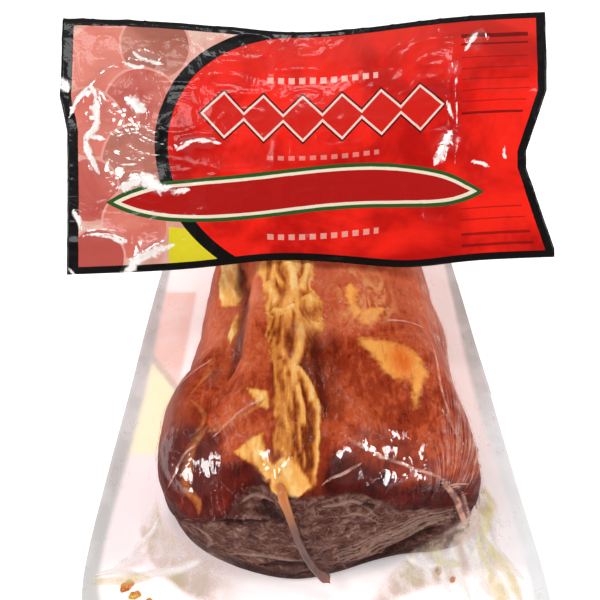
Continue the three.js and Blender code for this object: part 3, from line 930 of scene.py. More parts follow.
def clear_web_surface():
    """Points of the clear web and the numbers that its look is worked out from."""
    columns, rows = FILM_GRID
    reach, turn = disc_grid(columns, rows, FILM_CROWDING)
    on_loin = np.clip(reach / FILM_SIDE_SHARE, 0, 1)
    level = on_loin * (TOP_SHARE + 0.015)
    skin = loin_surface(level, turn, FILM_GROOVE_DEPTH)
    skin = skin + grid_normals(skin) * FILM_OFFSET

    side = loin_surface(np.full(turn.shape, TOP_SHARE), turn)
    away = side[..., :2] - LOIN_CENTRE
    start = np.linalg.norm(away, axis=-1)
    direction = away / start[..., None]
    spare = footprint_reach(direction) - start
    profile = smooth_line([*SLOPE_PROFILE, (16, MARGIN_LEVEL + 0.15), (24, MARGIN_LEVEL)], 10)
    length = np.concatenate([[0], np.cumsum(np.linalg.norm(np.diff(profile, axis=0), axis=1))])
    slope_share = np.clip((reach - FILM_SIDE_SHARE) / (1 - FILM_SIDE_SHARE), 0, 1)
    run = slope_share * length[-1]
    out = np.interp(run, length, profile[:, 0])
    height = np.interp(run, length, profile[:, 1])
    out = out * (1 + (spare / profile[-1, 0] - 1) * ease(out, 6, profile[-1, 0]))
    skirt = np.concatenate([
        LOIN_CENTRE + direction * (start + out)[..., None],
        height[..., None],
    ], axis=-1)

    sloped = ease(reach, FILM_SIDE_SHARE - 0.015, FILM_SIDE_SHARE + 0.03)[..., None]
    return skin * (1 - sloped) + skirt * sloped, reach, turn, out


def crease_fields(base, q, on_slope):
    """The reach of the creases over the meat and of the pale and yellow folds in the margin."""
    x, y, z = np.moveaxis(base, -1, 0)
    upward = grid_normals(base)[..., 2]
    crease = line_reach(x + 0.25 * noise(base, 6, 41), q, CREASES) / np.clip(upward, 0.35, 1)
    crease = np.where(on_slope > 0.6, OFF_LINE, crease)
    crease = np.minimum(crease, line_reach(x + 0.5 * noise(base, 5, 49), q, CORNER_FOLDS))
    margin_x = x + 0.5 * noise(base, 5, 50)
    low_down = ease(12 - z, -4, 4)
    fold, yellow = (
        OFF_LINE - (OFF_LINE - line_reach(margin_x, y, lines)) * low_down
        for lines in (PALE_FOLDS, YELLOW_FOLDS)
    )
    return {"crease": crease, "fold": fold, "yellow": yellow}


def margin_fields(base, turn, out, on_slope, around, folds):
    """Where the film is milky: ledges beside the loin, a drape over the cut end's lower right, and a pale
    painted sheen on the loin's left flank.
    """
    x, y, z = np.moveaxis(base, -1, 0)
    left = window(turn, *LEFT_LEDGE) * window(out, 1.0, 3.0, 9.5, 11.5)
    right = window(turn, *RIGHT_LEDGE) * window(out, 1.5, 4.0, 11.0, 15.0)
    ledge = on_slope * np.maximum(left, right) * (0.8 + 0.35 * folds)
    drape = ease(0.62 * (x - 18) + 2 - z, -2, 3) * (1 - ease(z, 22, 28)) * (1 - ease(y, -62, -56))
    ledge = np.maximum(ledge, drape * (1 - ease(out, 9, 12)) * (0.7 + 0.4 * folds))
    edge = on_slope * ease(x, 20, 40) * ease(y, -56, -24) * window(out, -1.0, 0.0, 3.0, 6.0)
    # A pale painted sheen over the loin's left flank.
    painted_sheen = (1 - ease(x, -46, -37)) * ease(y, -62, -40) * ease(z, 8, 24)
    painted_sheen = painted_sheen * (0.5 + 0.5 * noise(base, (3, 12, 5), 52))
    milk = np.clip(np.maximum(edge * (0.75 + 0.35 * folds), 0.45 * painted_sheen), 0, 1)
    cream = np.clip(0.5 + 0.9 * noise(around, (9, 5, 6), 44), 0, 1)
    return {"ledge": np.clip(ledge, 0, 1), "milk": milk, "cream": cream}


def clear_web():
    base, reach, turn, out = clear_web_surface()
    on_slope = ease(reach, FILM_SIDE_SHARE - 0.02, FILM_SIDE_SHARE + 0.06)
    x, y, z = np.moveaxis(base, -1, 0)
    q = down_the_face(base)
    around = np.stack([turn * ROUND_LENGTH, out * 0.35, np.zeros_like(out)], axis=-1)
    folds = noise(around, (4.0, 6, 6), 43)
    fields = crease_fields(base, q, on_slope) | margin_fields(base, turn, out, on_slope, around, folds)

    near_zones = [bell(np.linalg.norm(base - zone[:3], axis=-1), zone[3]) for zone in GLINT_ZONES]
    glint = ease(sum(near_zones), 0.3, 0.6)
    ripple = 0.05 * noise(base, (3, 9, 6), 46) + 0.16 * noise(base, 9, 47)
    ripple = ripple + 0.16 * glint * noise(base, (4, 6, 5), 45)
    strip_plan = [(sx, sy - max(0, WRAP_LEVEL - sz)) for sx, sy, sz in STRIP_ROUTE]
    over_strip = 1.2 * bell(line_distance(x, q, strip_plan)[0], 2.4)
    over_meat = broad_relief(base, loin_fields(base), 0.0) + ripple + 0.2 * inked(fields["crease"], 0.9)
    rim = on_slope * ease(out, 2, 9) * (1 - ease(out, 12, 20))
    lift = over_meat * (1 - on_slope) + over_strip + rim * 0.5 * folds
    lift = lift + 0.8 * inked(fields["fold"], 0.9) + 0.9 * inked(fields["yellow"], 0.9)
    points = base + grid_normals(base) * lift[..., None]
    points[..., 2] += 0.5 * ease(out, 12, 22) * (0.5 + 0.5 * noise(around, (22, 40, 6), 48))
    points[..., 2] = np.maximum(points[..., 2], MARGIN_LEVEL - 0.2)
    glint = glint * ease(grid_normals(points)[..., 2], 0.46, 0.58)
    fan, fan_share = crease_fan(x, y, z, q)
    fields |= {"glint": glint, "fan_share": fan_share * (1 - ease(on_slope, 0.5, 0.9))}
    columns, rows = FILM_GRID
    flat = {name: values.ravel() for name, values in fields.items()}
    flat["fan"] = fan.reshape(-1, 3)
    return mesh_object("clear_web", points.reshape(-1, 3), grid_faces(rows, columns), flat)


def clear_film_material():
    """Clear glossy film, pink along its creases, milky in its folds and creamy where juice lies under it,
    with fine pale lines painted on as highlights of its wrinkles.
    """
    n = Nodes("clear_film")
    even = n.place()
    wrinkle = n.noise(n.place((1, 0.35, 0.6)), 300, 3, 0.5, 0.4)
    soft = n.noise(even, 110, 2)
    relief = n.bump(n.scaled(soft, 1.2, wrinkle), 0.4, 0.0006)
    relief = n.facets(relief, n.place((1, 0.5, 0.5)), 300, 0.13, "glint")
    gloss = n.shader("ShaderNodeBsdfGlossy", Color=WHITE, Roughness=0.05, Normal=relief)
    fresnel = n.made("ShaderNodeFresnel", {"IOR": 1.22, "Normal": relief})
    shine = n.plus(n.times("glint", 0.075), n.times(fresnel, 0.02))

    # Fine pale lines, painted highlights of the film's wrinkles.
    threads = n.ramp(n.distance(n.noise(n.place((1, 0.5, 0.8)), 150, 4, 0.6, 1.4), 0.5), 0.0, 0.012, 1, 0)
    threads = n.times(threads, n.ramp(n.noise(even, 60, 2), 0.45, 0.62, 0, 0.3))
    stretched = n.vector_math("MULTIPLY", n.vector_field("fan"), (1.0, 0.045, 0.0))
    fan = n.ramp(n.distance(n.noise(stretched, 350, 3, 0.5, 0.2), 0.5), 0.014, 0.085, 1, 0)
    fan = n.times(fan, "fan_share")
    crease = n.larger(n.inked("crease"), n.times(fan, n.ramp(soft, 0.4, 0.62, 0.35, 1)))
    fold, yellow = n.inked("fold", 0.8), n.inked("yellow", 0.8)
    grain = n.noise(even, 240, 4)
    juicy = n.mix(n.ramp("cream", 0.3, 0.8), (214, 194, 180), (196, 182, 138))
    milk = n.mix("ledge", (236, 196, 186), juicy)
    milk = n.mix(fold, milk, (255, 248, 244))
    milk = n.mix(yellow, milk, (232, 220, 162))
    line = n.mix("ledge", (238, 178, 160), (216, 190, 172))
    milk = n.mix(crease, milk, line)
    body = n.shader("ShaderNodeBsdfDiffuse", Color=milk, Roughness=0.0)
    clear = n.shader("ShaderNodeBsdfTransparent", Color=WHITE)
    ledge = n.times("ledge", n.ramp(grain, 0.38, 0.58, 0.35, 0.95))
    creased = n.times(crease, n.ramp(grain, 0.35, 0.6, 0.25, 0.7))
    folded = n.times(n.larger(fold, yellow), n.ramp(grain, 0.3, 0.6, 0.35, 0.75))
    cover = n.larger(n.larger(creased, n.times("milk", 0.5)), folded)
    cover = n.larger(n.larger(cover, ledge), threads)
    under = n.blend(cover, clear, body)
    return n.finish(n.blend(shine, under, gloss))


# The printed back web, seen from inside as a pale ghost of its print

BACK_WEB_GRID = (150, 200)
BACK_WEB_THICKNESS = 0.5
BORDER = 4.5
ROSE_BLOCK_FROM = 62.0
UNDER_BAND_HALVES = (9.0, 7.8, 6.6)

# Colours of the print, from 0 to 255
BLACK = (14, 11, 11)
ROSE = (208, 108, 94)
RED_TONES = ((178, 10, 6), (242, 34, 20))
BAND_TONES = ((44, 84, 36), (232, 220, 196), (172, 20, 17))


def back_web():
    columns, rows = BACK_WEB_GRID
    reach, turn = disc_grid(columns, rows, 0.0)
    direction = np.stack([np.cos(2 * np.pi * turn), np.sin(2 * np.pi * turn)], axis=-1)
    limit = footprint_reach(direction)
    flat = LOIN_CENTRE + direction * (reach * limit)[..., None]
    inset = (1 - reach) * limit
    around = np.stack([turn * ROUND_LENGTH, np.zeros_like(turn), np.zeros_like(turn)], axis=-1)
    curl = 1.6 * (1 - ease(inset, 0, 6)) * (1 - ease(flat[..., 1], 60, 80))
    curl = curl * (0.5 + 0.5 * noise(around, (24, 1, 1), 51))
    height = BACK_WEB_THICKNESS / 2 + curl
    middle = np.concatenate([flat, height[..., None]], axis=-1)
    return sheet_object("back_web", middle, BACK_WEB_THICKNESS, {"inset": inset, "plan": middle})


def ghost_material():
    """The inner side of the back web: milky, with faint fields where the print shows through. It is painted
    whiter in front of the loin's cut end and glows a little, painted light that keeps it pale in the shade of
    the loin and the fold.
    """
    n = Nodes("ghost_print")
    plan = n.vector_field("plan")
    x, y = n.part(plan, 0), n.part(plan, 1)
    slant = n.scaled(x, 1.35, y)
    left = n.ramp(x, -8, 8, 1, 0)
    white, lilac = (255, 248, 248), (240, 226, 228)
    pink, yellow = (242, 206, 198), (246, 236, 200)
    colour = n.mix(n.ramp(y, -34, -28), lilac, yellow)
    colour = n.mix(n.ramp(slant, -76, -72), colour, (206, 190, 178))
    colour = n.mix(n.ramp(slant, -71, -67), colour, pink)
    colour = n.mix(n.ramp(y, 62, 66), colour, white)
    inner = n.times(n.ramp(x, -55, -52), n.ramp(y, -20, -4))
    colour = n.mix(inner, colour, white)
    right = n.mix(n.ramp(y, -70, 10), (226, 220, 222), (238, 220, 217))
    colour = n.mix(left, right, colour)
    # Painted light: the margin is whiter in front of the loin's cut end.
    colour = n.mix(n.ramp(y, -80, -72, 1, 0), colour, (255, 244, 244))
    edge = n.ramp("inset", BORDER, 8, 1, 0)
    right_y = n.times(y, n.ramp(x, -10, 10))
    grey = n.mix(n.ramp(right_y, -30, 20), (214, 216, 218), (182, 178, 176))
    colour = n.mix(edge, colour, grey)
    soft = n.noise(n.place(), 70, 3)
    colour = n.mix(n.ramp(soft, 0.4, 0.7, 0, 0.2), colour, (252, 248, 248))
    relief = n.bump(soft, 0.2, 0.001)
    # The glow is painted light, against the shade of the loin and the fold.
    return n.finish(n.principled(
        colour, 0.4, Specular_IOR_Level=0.1, Normal=relief, Emission_Color=colour, Emission_Strength=0.37,
    ))


def mottled_red(n):
    """The red ground of the print, and the texture that mottles it."""
    mottle = n.noise(n.place(), 30, 4, 0.6, 0.5)
    return n.mix(n.ramp(mottle, 0.34, 0.6), *RED_TONES), mottle


def underside_material():
    """The printed outer side under the pack: a red field in a black border, with a plain band across it."""
    n = Nodes("printed_underside")
    y = n.part(n.vector_field("plan"), 1)
    colour, mottle = mottled_red(n)
    for half, tone in zip(UNDER_BAND_HALVES, BAND_TONES):
        colour = n.mix(n.less(n.absolute(y), half), colour, tone)
    colour = n.mix(n.more(y, ROSE_BLOCK_FROM), colour, ROSE)
    colour = n.mix(n.less("inset", BORDER), colour, BLACK)
    return n.finish(n.principled(colour, 0.35, Normal=n.bump(mottle, 0.3, 0.001)))


# The folded end: from the far seal up to a ridge, then forward and down to its free edge on the loin

BAG_WIDTH = 175.0
SEAL_WIDTH = 166.0
FLAP_MIDDLE = -2.0
FREE_EDGE_Y = 10.0
FRONT_LENGTH = 89.6
FRONT_LENGTH_SKEW = 1.6
FRONT_TILT = math.radians(49.7)
RIDGE_DIP = 6.1
FREE_EDGE_SKEW = 3.2
FREE_EDGE_SAG = 2.4
FREE_EDGE_DENT = 1.9
REST_HEIGHT = CROWN_HEIGHT + FAT_RISE + 1.5
SEAL_PLACE = (98.4, 1.65)
FOLD_REACH = 3.0
BACK_BOW = 7.0
BULGE = 3.2
FLAP_GRID = (232, 200)
FRONT_ROWS = 0.7
FLAP_THICKNESS = 0.5

# The distance below the ridge and how far the side edge is moved in +X there
RIGHT_EDGE = [(-10, -1.0), (29, -0.7), (51, -8.2), (57, -8.2), (68, -4.2), (86, 2.1)]
LEFT_EDGE = [(-10, 0.3), (28, -0.8), (41, 1.9), (93, 1.6)]


def bezier(points, t):
    """A curve of one control point, for rows of start, control and end."""
    a, b, c = points
    return a * (1 - t) ** 2 + b * 2 * t * (1 - t) + c * t**2


def flap_sheet():
    """Rows of points from the far seal over the ridge to the free edge, with width and slope places in mm."""
    columns, rows = FLAP_GRID
    side = np.linspace(-1, 1, columns)
    slope = np.array([0, math.cos(FRONT_TILT), math.sin(FRONT_TILT)])

    def level_row(x, y, z):
        return np.stack([x, np.full(columns, y), np.full(columns, z)], axis=-1)

    def towards(start, end):
        way = end - start
        return start + FOLD_REACH * way / np.linalg.norm(way, axis=-1, keepdims=True)

    rest = level_row(FLAP_MIDDLE + side * BAG_WIDTH / 2, FREE_EDGE_Y, REST_HEIGHT)
    front_length = FRONT_LENGTH + FRONT_LENGTH_SKEW * side - RIDGE_DIP * bell(side + 0.02, 0.52)
    edge_shift = FREE_EDGE_SKEW * side - FREE_EDGE_DENT * bell(side - 0.43, 0.2)
    edge_shift = edge_shift - FREE_EDGE_SAG * (1 - bell(side + 0.12, 0.28))
    ridge = rest + slope * front_length[:, None]
    edge = rest + slope * edge_shift[:, None]
    seal = level_row(side * SEAL_WIDTH / 2, *SEAL_PLACE)
    fold_start, fold_end = towards(ridge, seal), towards(ridge, edge)
    bow = (fold_start + seal) / 2 + np.array([0, 2 * BACK_BOW, 0])
    fine = np.linspace(0, 1, 60)[:, None, None]
    path = np.concatenate([
        bezier((seal, bow, fold_start), fine[:-1]),
        bezier((fold_start, ridge, fold_end), fine[:-1]),
        fold_end + (edge - fold_end) * fine,
    ])
    steps = np.linalg.norm(np.diff(path, axis=0), axis=-1)
    length = np.concatenate([np.zeros((1, columns)), np.cumsum(steps, axis=0)])
    ridge_at = np.array([length[np.argmax(path[:, i, 2]), i] for i in range(columns)])
    share = np.linspace(0, 1, rows)
    back_share = np.clip(share / (1 - FRONT_ROWS), 0, 1)[:, None]
    front_share = np.clip((share - 1 + FRONT_ROWS) / FRONT_ROWS, 0, 1)[:, None]
    down = back_share * ridge_at + front_share * (length[-1] - ridge_at)
    sheet = np.stack([
        np.stack([np.interp(down[:, i], length[:, i], path[:, i, k]) for k in range(3)], axis=-1)
        for i in range(columns)
    ], axis=1)
    return sheet, np.broadcast_to(side * BAG_WIDTH / 2, down.shape), down - ridge_at, length[-1] - ridge_at


# Creases pressed into the folded end: places across and below the ridge in mm, with reach and height
FLAP_CREASES = [
    ([(53.5, 4), (53, 14), (51.6, 37), (53.6, 56)], 4.2, 1.3),
    ([(57, 12), (62, 8.5), (66, 7)], 1.8, 1.2),
    ([(47, 54), (50, 48), (53, 42)], 2.6, 1.5),
    ([(79, 52), (69.7, 58.3), (60.2, 61.5), (50.7, 69), (40.2, 76.7)], 7.0, -1.7),
    ([(86, 28), (70, 31), (56, 24)], 4.0, 1.0),
    ([(-87, 35.4), (-75.9, 24.4), (-66, 14)], 3.4, 1.5),
    ([(-75.9, 23), (-74.9, 36.6), (-80, 43), (-78, 52.5), (-72.8, 61)], 3.9, 1.8),
    ([(-73.6, 24), (-71.8, 38), (-66, 48)], 2.4, 0.9),
    ([(-66, 27), (-61, 32), (-55, 35)], 3.9, 1.7),
    ([(-64, 33.4), (-59.4, 39.8), (-51, 42.4)], 1.5, 1.2),
    ([(-66, 36), (-61, 43), (-50, 47)], 1.5, 1.1),
    ([(-72, 48), (-63, 51), (-55, 51)], 1.6, 1.0),
    ([(-73, 64.5), (-66, 60), (-60.4, 57.8), (-53.2, 61), (-41, 60)], 3.9, 1.9),
    ([(-47, 46.4), (-41.8, 43.6), (-29, 43)], 2.0, 1.2),
    ([(-64.5, 13), (-60.4, 15.4), (-50, 12.7)], 2.0, 1.3),
    ([(-84, 78.6), (-71.8, 78), (-63, 81)], 1.8, 1.2),
    ([(-68.5, 95), (-60.4, 85.4), (-47, 77.5)], 3.9, 1.9),
    ([(-52, 8), (-54, 20), (-50, 34)], 5.0, -1.2),
    ([(-46, 50), (-20, 52), (10, 46), (44, 48)], 9.0, 0.9),
    ([(-30, 14), (-4, 20), (24, 16), (50, 22)], 8.0, -0.8),
    ([(4, 90), (14, 78), (30, 66)], 6.0, 0.9),
    ([(-26, 84), (-10, 74), (4, 72)], 5.0, -0.7),
]
CRINKLE_ZONES = [
    (-75, 36, 8), (-62, 38, 9), (-70, 56, 7), (-58, 14, 6), (-42, 45, 4), (-58, 84, 7), (53.5, 20, 4),
    (51, 46, 6), (61, 11, 5),
]
CRINKLE_REACH = 2.4

# Painted highlights: white streaks along the sharp creases that stand in for glints. Places as above, with
# widths
PAINTED_GLINT_LINES = [
    ([(-68, 61.5), (-65.5, 60.6), (-60.4, 58.6), (-56.7, 57.4), (-53.1, 59.6), (-47.6, 61),
      (-40.5, 60)], 4.4),
    ([(-64.4, 28.6), (-60.4, 31), (-57, 34.4)], 4.2),
    ([(-86.4, 36.4), (-80.8, 29.6), (-76.4, 24.6)], 1.2),
    ([(-76.9, 22.9), (-74.4, 29.1), (-75.6, 38.6), (-80.1, 44), (-77.9, 51.3), (-73.9, 58.6)], 2.5),
    ([(-80.5, 45.5), (-78, 43), (-73, 43.6)], 1.6),
    ([(-68.5, 96.5), (-62.6, 88.4), (-55.8, 84.3), (-46.6, 79.8)], 3.6),
    ([(-88.4, 21.4), (-86.6, 23.4), (-84.2, 27)], 3.4),
    ([(-85.6, 68.4), (-83.8, 72), (-82, 76.4)], 2.4),
    ([(-84.4, 77.9), (-74, 78.2), (-65, 80.1)], 1.1),
    ([(-71, 78.4), (-67.4, 80), (-64, 79.6)], 2.6),
    ([(-88, 88.6), (-84.6, 92.4), (-80.4, 95.6)], 1.2),
    ([(-46.4, 46.9), (-42, 44.1), (-37.8, 42.4), (-29, 43.1)], 1.5),
    ([(-63, 11.2), (-58, 14.6), (-51, 15.6)], 1.8),
    ([(-66.5, 15.6), (-60.5, 17.4), (-57, 16.6)], 1.2),
    ([(-62, 40.2), (-56.4, 43.4), (-49.6, 45)], 0.8),
    ([(-66, 44.6), (-59, 48), (-50.6, 48.8)], 0.7),
    ([(-73, 50.4), (-66, 52.6), (-58, 51.8)], 0.8),
    ([(45.8, 54), (48.2, 49.6), (52.4, 42)], 3.0),
    ([(50.4, 31.4), (51.4, 35), (53, 39)], 1.2),
    ([(57, 14), (59.4, 10.6), (62.4, 7.2)], 2.0),
    ([(54.2, 17), (53.6, 30), (54.6, 44), (54.2, 55)], 0.7),
    ([(60.6, 53.4), (66, 54.2), (72.4, 56)], 1.4),
    ([(77.6, 48.4), (78.4, 51.4), (79, 54)], 1.6),
]


def folded_end():
    sheet, across, below, front = flap_sheet()
    flat = np.stack([across, below, np.zeros_like(below)], axis=-1)
    away = ease(below + 128, 0, 14) * ease(front - below, -1, 5)
    zones = [bell(np.hypot(across - cx, below - cy), size) for cx, cy, size in CRINKLE_ZONES]
    zone = np.clip(sum(zones), 0, 1)
    relief = 0.5 * noise(flat, (34, 26, 1), 61) + 0.35 * ridges(flat, (24, 15, 1), 62)
    relief = relief + zone * (0.4 * ridges(flat, (7, 5.5, 1), 63) + 0.1 * noise(flat, (2.8, 2.4, 1), 64))
    relief = relief + 0.22 * ridges(flat, (9, 4, 1), 65)
    crinkle = 0.7 * zone
    for line, reach, height in FLAP_CREASES:
        distance, along = line_distance(across + 0.5 * noise(flat, 6, 66), below, line)
        ends = between_ends(along, 0, 0.2)
        relief = relief + height * np.exp(-distance / reach) * ends
        if reach < 4:
            crinkle = np.maximum(crinkle, bell(distance, CRINKLE_REACH) * ends)
    bulge = BULGE * np.cos(across / BAG_WIDTH * np.pi) * np.sin(np.pi * np.clip(below / front, 0, 1))
    points = sheet.copy()
    for edge, outwards in ((RIGHT_EDGE, across), (LEFT_EDGE, -across)):
        points[..., 0] += along_knots(below, edge) * ease(below, -12, 0) * ease(outwards, 46, BAG_WIDTH / 2)
    normal = grid_normals(sheet)
    outward = normal * np.sign(normal[..., 2:3] + 0.6 * normal[..., 1:2])
    points = points + outward * ((relief * away + bulge)[..., None])
    fields = {
        "across": across, "below": below, "front": np.broadcast_to(front, below.shape), "crinkle": crinkle,
        "painted_glint": line_reach(across, below, PAINTED_GLINT_LINES),
    }
    flipped = {name: values[::-1].copy() for name, values in fields.items()}
    return sheet_object("folded_end", points[::-1], FLAP_THICKNESS, flipped)


# The print. Discs have a place across and below the ridge, a radius and a tone, and rules have a place, a
# height and a strength. Places and sizes are in mm.
DISCS = [
    (-71, 15, 15, 0), (-54, 9, 13, 2), (-58, 31, 14, 1), (-78, 38, 13, 0), (-62, 51, 13, 2), (-79, 62, 12, 1),
    (-62, 74, 13, 0), (-76, 86, 11, 1),
]
DISC_TONES = [ROSE, (184, 80, 72), (162, 94, 78)]
RULES = [
    (7.6, 1.5, 0.9), (11, 0.7, 0.8), *((low, 0.5, 0.45) for low in (16, 20, 24, 28, 32)), (36, 0.9, 0.85),
    (70, 0.5, 0.5), (74, 0.5, 0.5), (79, 1.0, 0.7), (83, 1.0, 0.7),
]
RULE_SPAN = (56, 81)
DISC_RIM = 0.9
ARC_CENTRE = (-2.6, 45.1)
ARC_OUTER = (51.4, 46.8)
ARC_INNER = (46.6, 42.6)
DASH_SPAN = (-14, 26)
DASH_ROWS = [(17.5, 19.7, 0.8), (46, 47.6, 0.35), (73.5, 75.5, 0.55)]
LOZENGES = [(across, 32.5) for across in range(-29, 42, 14)]
LOZENGE_RINGS = [(9.4, (96, 8, 7)), (8.5, (242, 206, 194)), (7.4, (206, 30, 21))]
BAND_LEVEL = 66.5
BAND_RISE = 9.0
BAND_HALVES = (8.0, 6.7, 5.6)
BAND_ENDS = (70, 67, 64)
YELLOW_BLOCK = (-49, 74)
LEFT_BORDER = 4.2
RIGHT_BORDER = 3.4
END_BORDER = 2.6


def in_ellipse(n, s, t, centre, radii):
    parts = [n.squared(value, middle, half) for value, middle, half in zip((s, t), centre, radii)]
    return n.less(n.plus(*parts), 1.0)


def print_fields(n, s, t):
    """Rose discs and a yellow block on a pale ground, then a black arc and the red field right of it."""
    red, mottle = mottled_red(n)
    # Painted sheen: the red is paler and pinker towards the ridge.
    red = n.mix(n.ramp(t, 0, 26, 0.5, 0), red, (206, 56, 46))
    colour = n.mix(n.ramp(mottle, 0.4, 0.6), (226, 186, 172), (214, 150, 134))
    for cx, cy, radius, tone in DISCS:
        colour = n.mix(in_ellipse(n, s, t, (cx, cy), (radius, radius)), colour, (222, 156, 142))
        inner = n.mix(n.ramp(mottle, 0.4, 0.66, 0, 0.5), DISC_TONES[tone], (232, 150, 134))
        colour = n.mix(in_ellipse(n, s, t, (cx, cy), (radius - DISC_RIM, radius - DISC_RIM)), colour, inner)
    in_block = n.times(n.more(s, YELLOW_BLOCK[0]), n.more(t, YELLOW_BLOCK[1]))
    colour = n.mix(in_block, colour, (220, 206, 40))
    right = n.more(s, ARC_CENTRE[0])
    for radii, tone in ((ARC_OUTER, BLACK), (ARC_INNER, red)):
        colour = n.mix(n.larger(in_ellipse(n, s, t, ARC_CENTRE, radii), right), colour, tone)
    return colour


def with_marks(n, s, t, colour):
    """The print with rows of dashes, a chain of lozenges, an arched band with tapered ends and fine rules."""
    for low, high, strength in DASH_ROWS:
        dashes = n.less(n.math("PINGPONG", n.plus(s, 100), 1.9), 1.1)
        row = n.times(n.times(n.within(s, *DASH_SPAN), n.within(t, low, high)), dashes)
        colour = n.mix(n.times(row, strength), colour, (244, 196, 184))
    for reach, tone in LOZENGE_RINGS:
        for cx, cy in LOZENGES:
            lozenge = n.plus(n.distance(s, cx), n.distance(t, cy))
            colour = n.mix(n.less(lozenge, reach), colour, tone)
    arch = n.math("EXPONENT", n.times(n.squared(s, 10, 45), -1.0))
    off_band = n.distance(n.scaled(arch, BAND_RISE, t), BAND_LEVEL)
    for half, end, tone in zip(BAND_HALVES, BAND_ENDS, BAND_TONES):
        taper = n.math("POWER", n.absolute(n.scaled(s, 1 / end, 3 / end)), 5.0)
        colour = n.mix(n.less(n.scaled(off_band, 1 / half, taper), 1.0), colour, tone)
    for low, height, strength in RULES:
        rule = n.times(n.within(s, *RULE_SPAN), n.within(t, low, low + height))
        colour = n.mix(n.times(rule, strength), colour, (104, 8, 8))
    return colour


def printed_material():
    """The printed outer side in its black border, glinting where the film is creased, with painted white
    highlights along its sharpest creases.
    """
    n = Nodes("printed_film")
    s, t = n.field("across"), n.field("below")
    colour = with_marks(n, s, t, print_fields(n, s, t))
    width = BAG_WIDTH / 2
    sides = n.larger(n.less(s, LEFT_BORDER - width), n.more(s, width - RIGHT_BORDER))
    ends = n.larger(n.within(t, -1.5, END_BORDER), n.less(n.minus("front", t), END_BORDER))
    colour = n.mix(n.larger(sides, ends), colour, BLACK)

    even = n.place()
    # Painted highlights: ragged white streaks along the sharp creases.
    rough_edge = n.scaled(n.noise(even, 200, 5, 0.7, 0.6), 4.4, -2.1)
    painted_glint = n.ramp(n.plus("painted_glint", rough_edge), 0.5, 1.2, 0.92, 0)
    colour = n.mix(painted_glint, colour, (255, 250, 246))
    relief = n.bump(n.noise(even, 110, 4, 0.55, 0.6), 0.35, 0.0012)
    crinkle = n.ramp("crinkle", 0.4, 0.6)
    creased = n.facets(n.made("ShaderNodeNewGeometry", output="Normal"), even, 150, 0.11, crinkle)
    print_body = n.principled(
        colour, 0.35, Specular_IOR_Level=0.08, Normal=relief,
        Coat_Weight=0.45, Coat_Roughness=0.05, Coat_IOR=1.34, Coat_Normal=relief,
    )
    gloss = n.shader("ShaderNodeBsdfGlossy", Color=WHITE, Roughness=0.08, Normal=creased)
    return n.finish(n.blend(n.times(crinkle, 0.11), print_body, gloss))


def inner_film_material():
    """The unprinted inner side of the folded end."""
    n = Nodes("pale_film")
    soft = n.noise(n.place(), 60, 3)
    colour = n.mix(n.ramp(soft, 0.35, 0.7), (232, 214, 210), (242, 230, 228))
    return n.finish(n.principled(colour, 0.3, Normal=n.bump(soft, 0.3, 0.001)))


# Drops of amber juice caught in the near margin

DROPS = [
    (-58, -81, 2.0), (-55, -84, 1.6), (-52.5, -88, 2.4), (-50, -86, 1.2), (-56.5, -89, 1.1),
    (40, -76, 1.3), (44, -79, 1.0), (52, -88, 1.4),
]
DROP_LEVEL = 0.62
DROP_HEIGHT_SHARE = 0.42
DROP_RINGS = 6
DROP_SIDES = 18


def juice_drops():
    points, faces = [], []
    rings, sides = DROP_RINGS, DROP_SIDES
    for number, (x, y, radius) in enumerate(DROPS):
        start = len(points)
        height = DROP_HEIGHT_SHARE * radius
        turn = np.linspace(0, 2 * np.pi, sides, endpoint=False)
        uneven = 1 + 0.22 * np.sin(2 * turn + number) + 0.1 * np.sin(5 * turn + 2 * number)
        for j in range(rings):
            tilt = j / rings * np.pi / 2
            for i in range(sides):
                reach = radius * uneven[i] * math.cos(tilt)
                z = DROP_LEVEL + height * math.sin(tilt)
                points.append((x + reach * math.cos(turn[i]), y + reach * math.sin(turn[i]), z))
        points.append((x, y, DROP_LEVEL + height))
        top = len(points) - 1
        faces += ring_faces(rings, sides, start)
        last = start + (rings - 1) * sides
        faces += [[last + i, last + (i + 1) % sides, top] for i in range(sides)]
        faces.append([start + i for i in range(sides)][::-1])
    return mesh_object("juice_drops", np.array(points), faces)


def juice_material():
    n = Nodes("juice")
    deep = n.ramp(n.noise(n.place(), 300, 3), 0.4, 0.65)
    colour = n.mix(deep, (236, 170, 70), (206, 112, 30))
    return n.finish(n.principled(colour, 0.12))


# The pieces, each on the one rigid body

def dress(piece, materials, slot, *nodes):
    for material in materials:
        piece.data.materials.append(material)
    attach(piece, "root")
    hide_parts(*nodes)


dress(smoked_loin(), [meat_material()], "smoked_meat", "wrapped_loin")
dress(sinew_strip(), [sinew_material()], "smoked_meat", "wrapped_loin")
dress(clear_web(), [clear_film_material()], "clear_film", "wrapped_loin")
dress(juice_drops(), [juice_material()], "smoked_meat", "wrapped_loin")
dress(back_web(), [ghost_material(), underside_material()], "pale_film", "back_film")
dress(folded_end(), [printed_material(), inner_film_material()], "printed_film", "printed_flap")


# Floor, lights and camera

def pale_floor():
    """A white table that glows a little, so that it stays white in the soft shadows."""
    half = 2.5
    corners = [(-half, -half, 0), (half, -half, 0), (half, half, 0), (-half, half, 0)]
    mesh = bpy.data.meshes.new("floor")
    mesh.from_pydata(corners, [], [[0, 1, 2, 3]])
    floor = bpy.data.objects.new("floor", mesh)
    bpy.context.scene.collection.objects.link(floor)
    n = Nodes("floor")
    floor.data.materials.append(n.finish(n.principled(
        (0.92, 0.92, 0.92, 1.0), 0.7, Specular_IOR_Level=0.0, Emission_Color=WHITE, Emission_Strength=0.8,
    )))


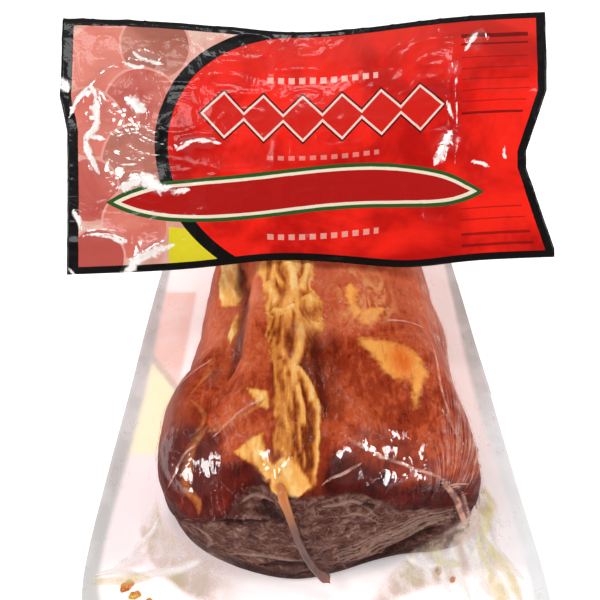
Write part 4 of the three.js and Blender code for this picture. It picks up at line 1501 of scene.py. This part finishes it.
def soft_light(name, place, target, size, watts, roll=0):
    light = bpy.data.lights.new(name, "AREA")
    light.shape = "RECTANGLE"
    light.size, light.size_y = size
    light.energy = watts
    lamp = bpy.data.objects.new(name, light)
    lamp.location = place
    aim = (Vector(target) - Vector(place)).to_track_quat("-Z", "Y")
    lamp.rotation_euler = (aim @ Quaternion((0, 0, 1), math.radians(roll))).to_euler()
    bpy.context.scene.collection.objects.link(lamp)


# Where the lights aim, in metres
AIM_TOP = (0, 0.03, 0.08)
AIM_RIGHT = (0.025, -0.066, 0.045)
AIM_LEFT = (-0.036, -0.064, 0.04)

pale_floor()
soft_light("overhead", (0.0, 0.15, 1.0), (0, 0, 0.03), (1.3, 1.1), 1.25)
soft_light("top_glint", (-0.05, -0.1, 1.03), AIM_TOP, (0.2, 0.12), 1.4)
soft_light("right_high", (0.73, -0.18, 0.59), AIM_RIGHT, (0.24, 0.17), 1.7, 20)
soft_light("right_low", (0.78, -0.52, 0.17), AIM_RIGHT, (0.26, 0.16), 1.7, 20)
soft_light("left_box", (-0.84, -0.28, 0.39), AIM_LEFT, (0.3, 0.22), 2.3, -20)
soft_light("front_left_glint", (-0.38, -0.335, 0.81), AIM_TOP, (0.3, 0.2), 2.2)

world = bpy.data.worlds.new("studio")
world.use_nodes = True
sky = world.node_tree.nodes["Background"].inputs
sky["Color"].default_value = (1.0, 0.985, 0.96, 1)
sky["Strength"].default_value = 0.2
bpy.context.scene.world = world
bpy.context.scene.view_settings.view_transform = "Standard"

# The camera stands 201 mm up and looks down by 40 degrees, 181 mm in front of the plan's middle
CAMERA_PLACE = np.array([-4.0, -181.0, 201.0])
CAMERA_PITCH = math.radians(40)
FOCAL_LENGTH = 39.48

lens = bpy.data.cameras.new("camera")
lens.lens = FOCAL_LENGTH
lens.sensor_width = 36
lens.clip_start = 0.01
camera = bpy.data.objects.new("camera", lens)
camera.location = placed(CAMERA_PLACE)
camera.rotation_euler = (math.pi / 2 - CAMERA_PITCH, 0, 0)
bpy.context.scene.collection.objects.link(camera)
bpy.context.scene.camera = camera
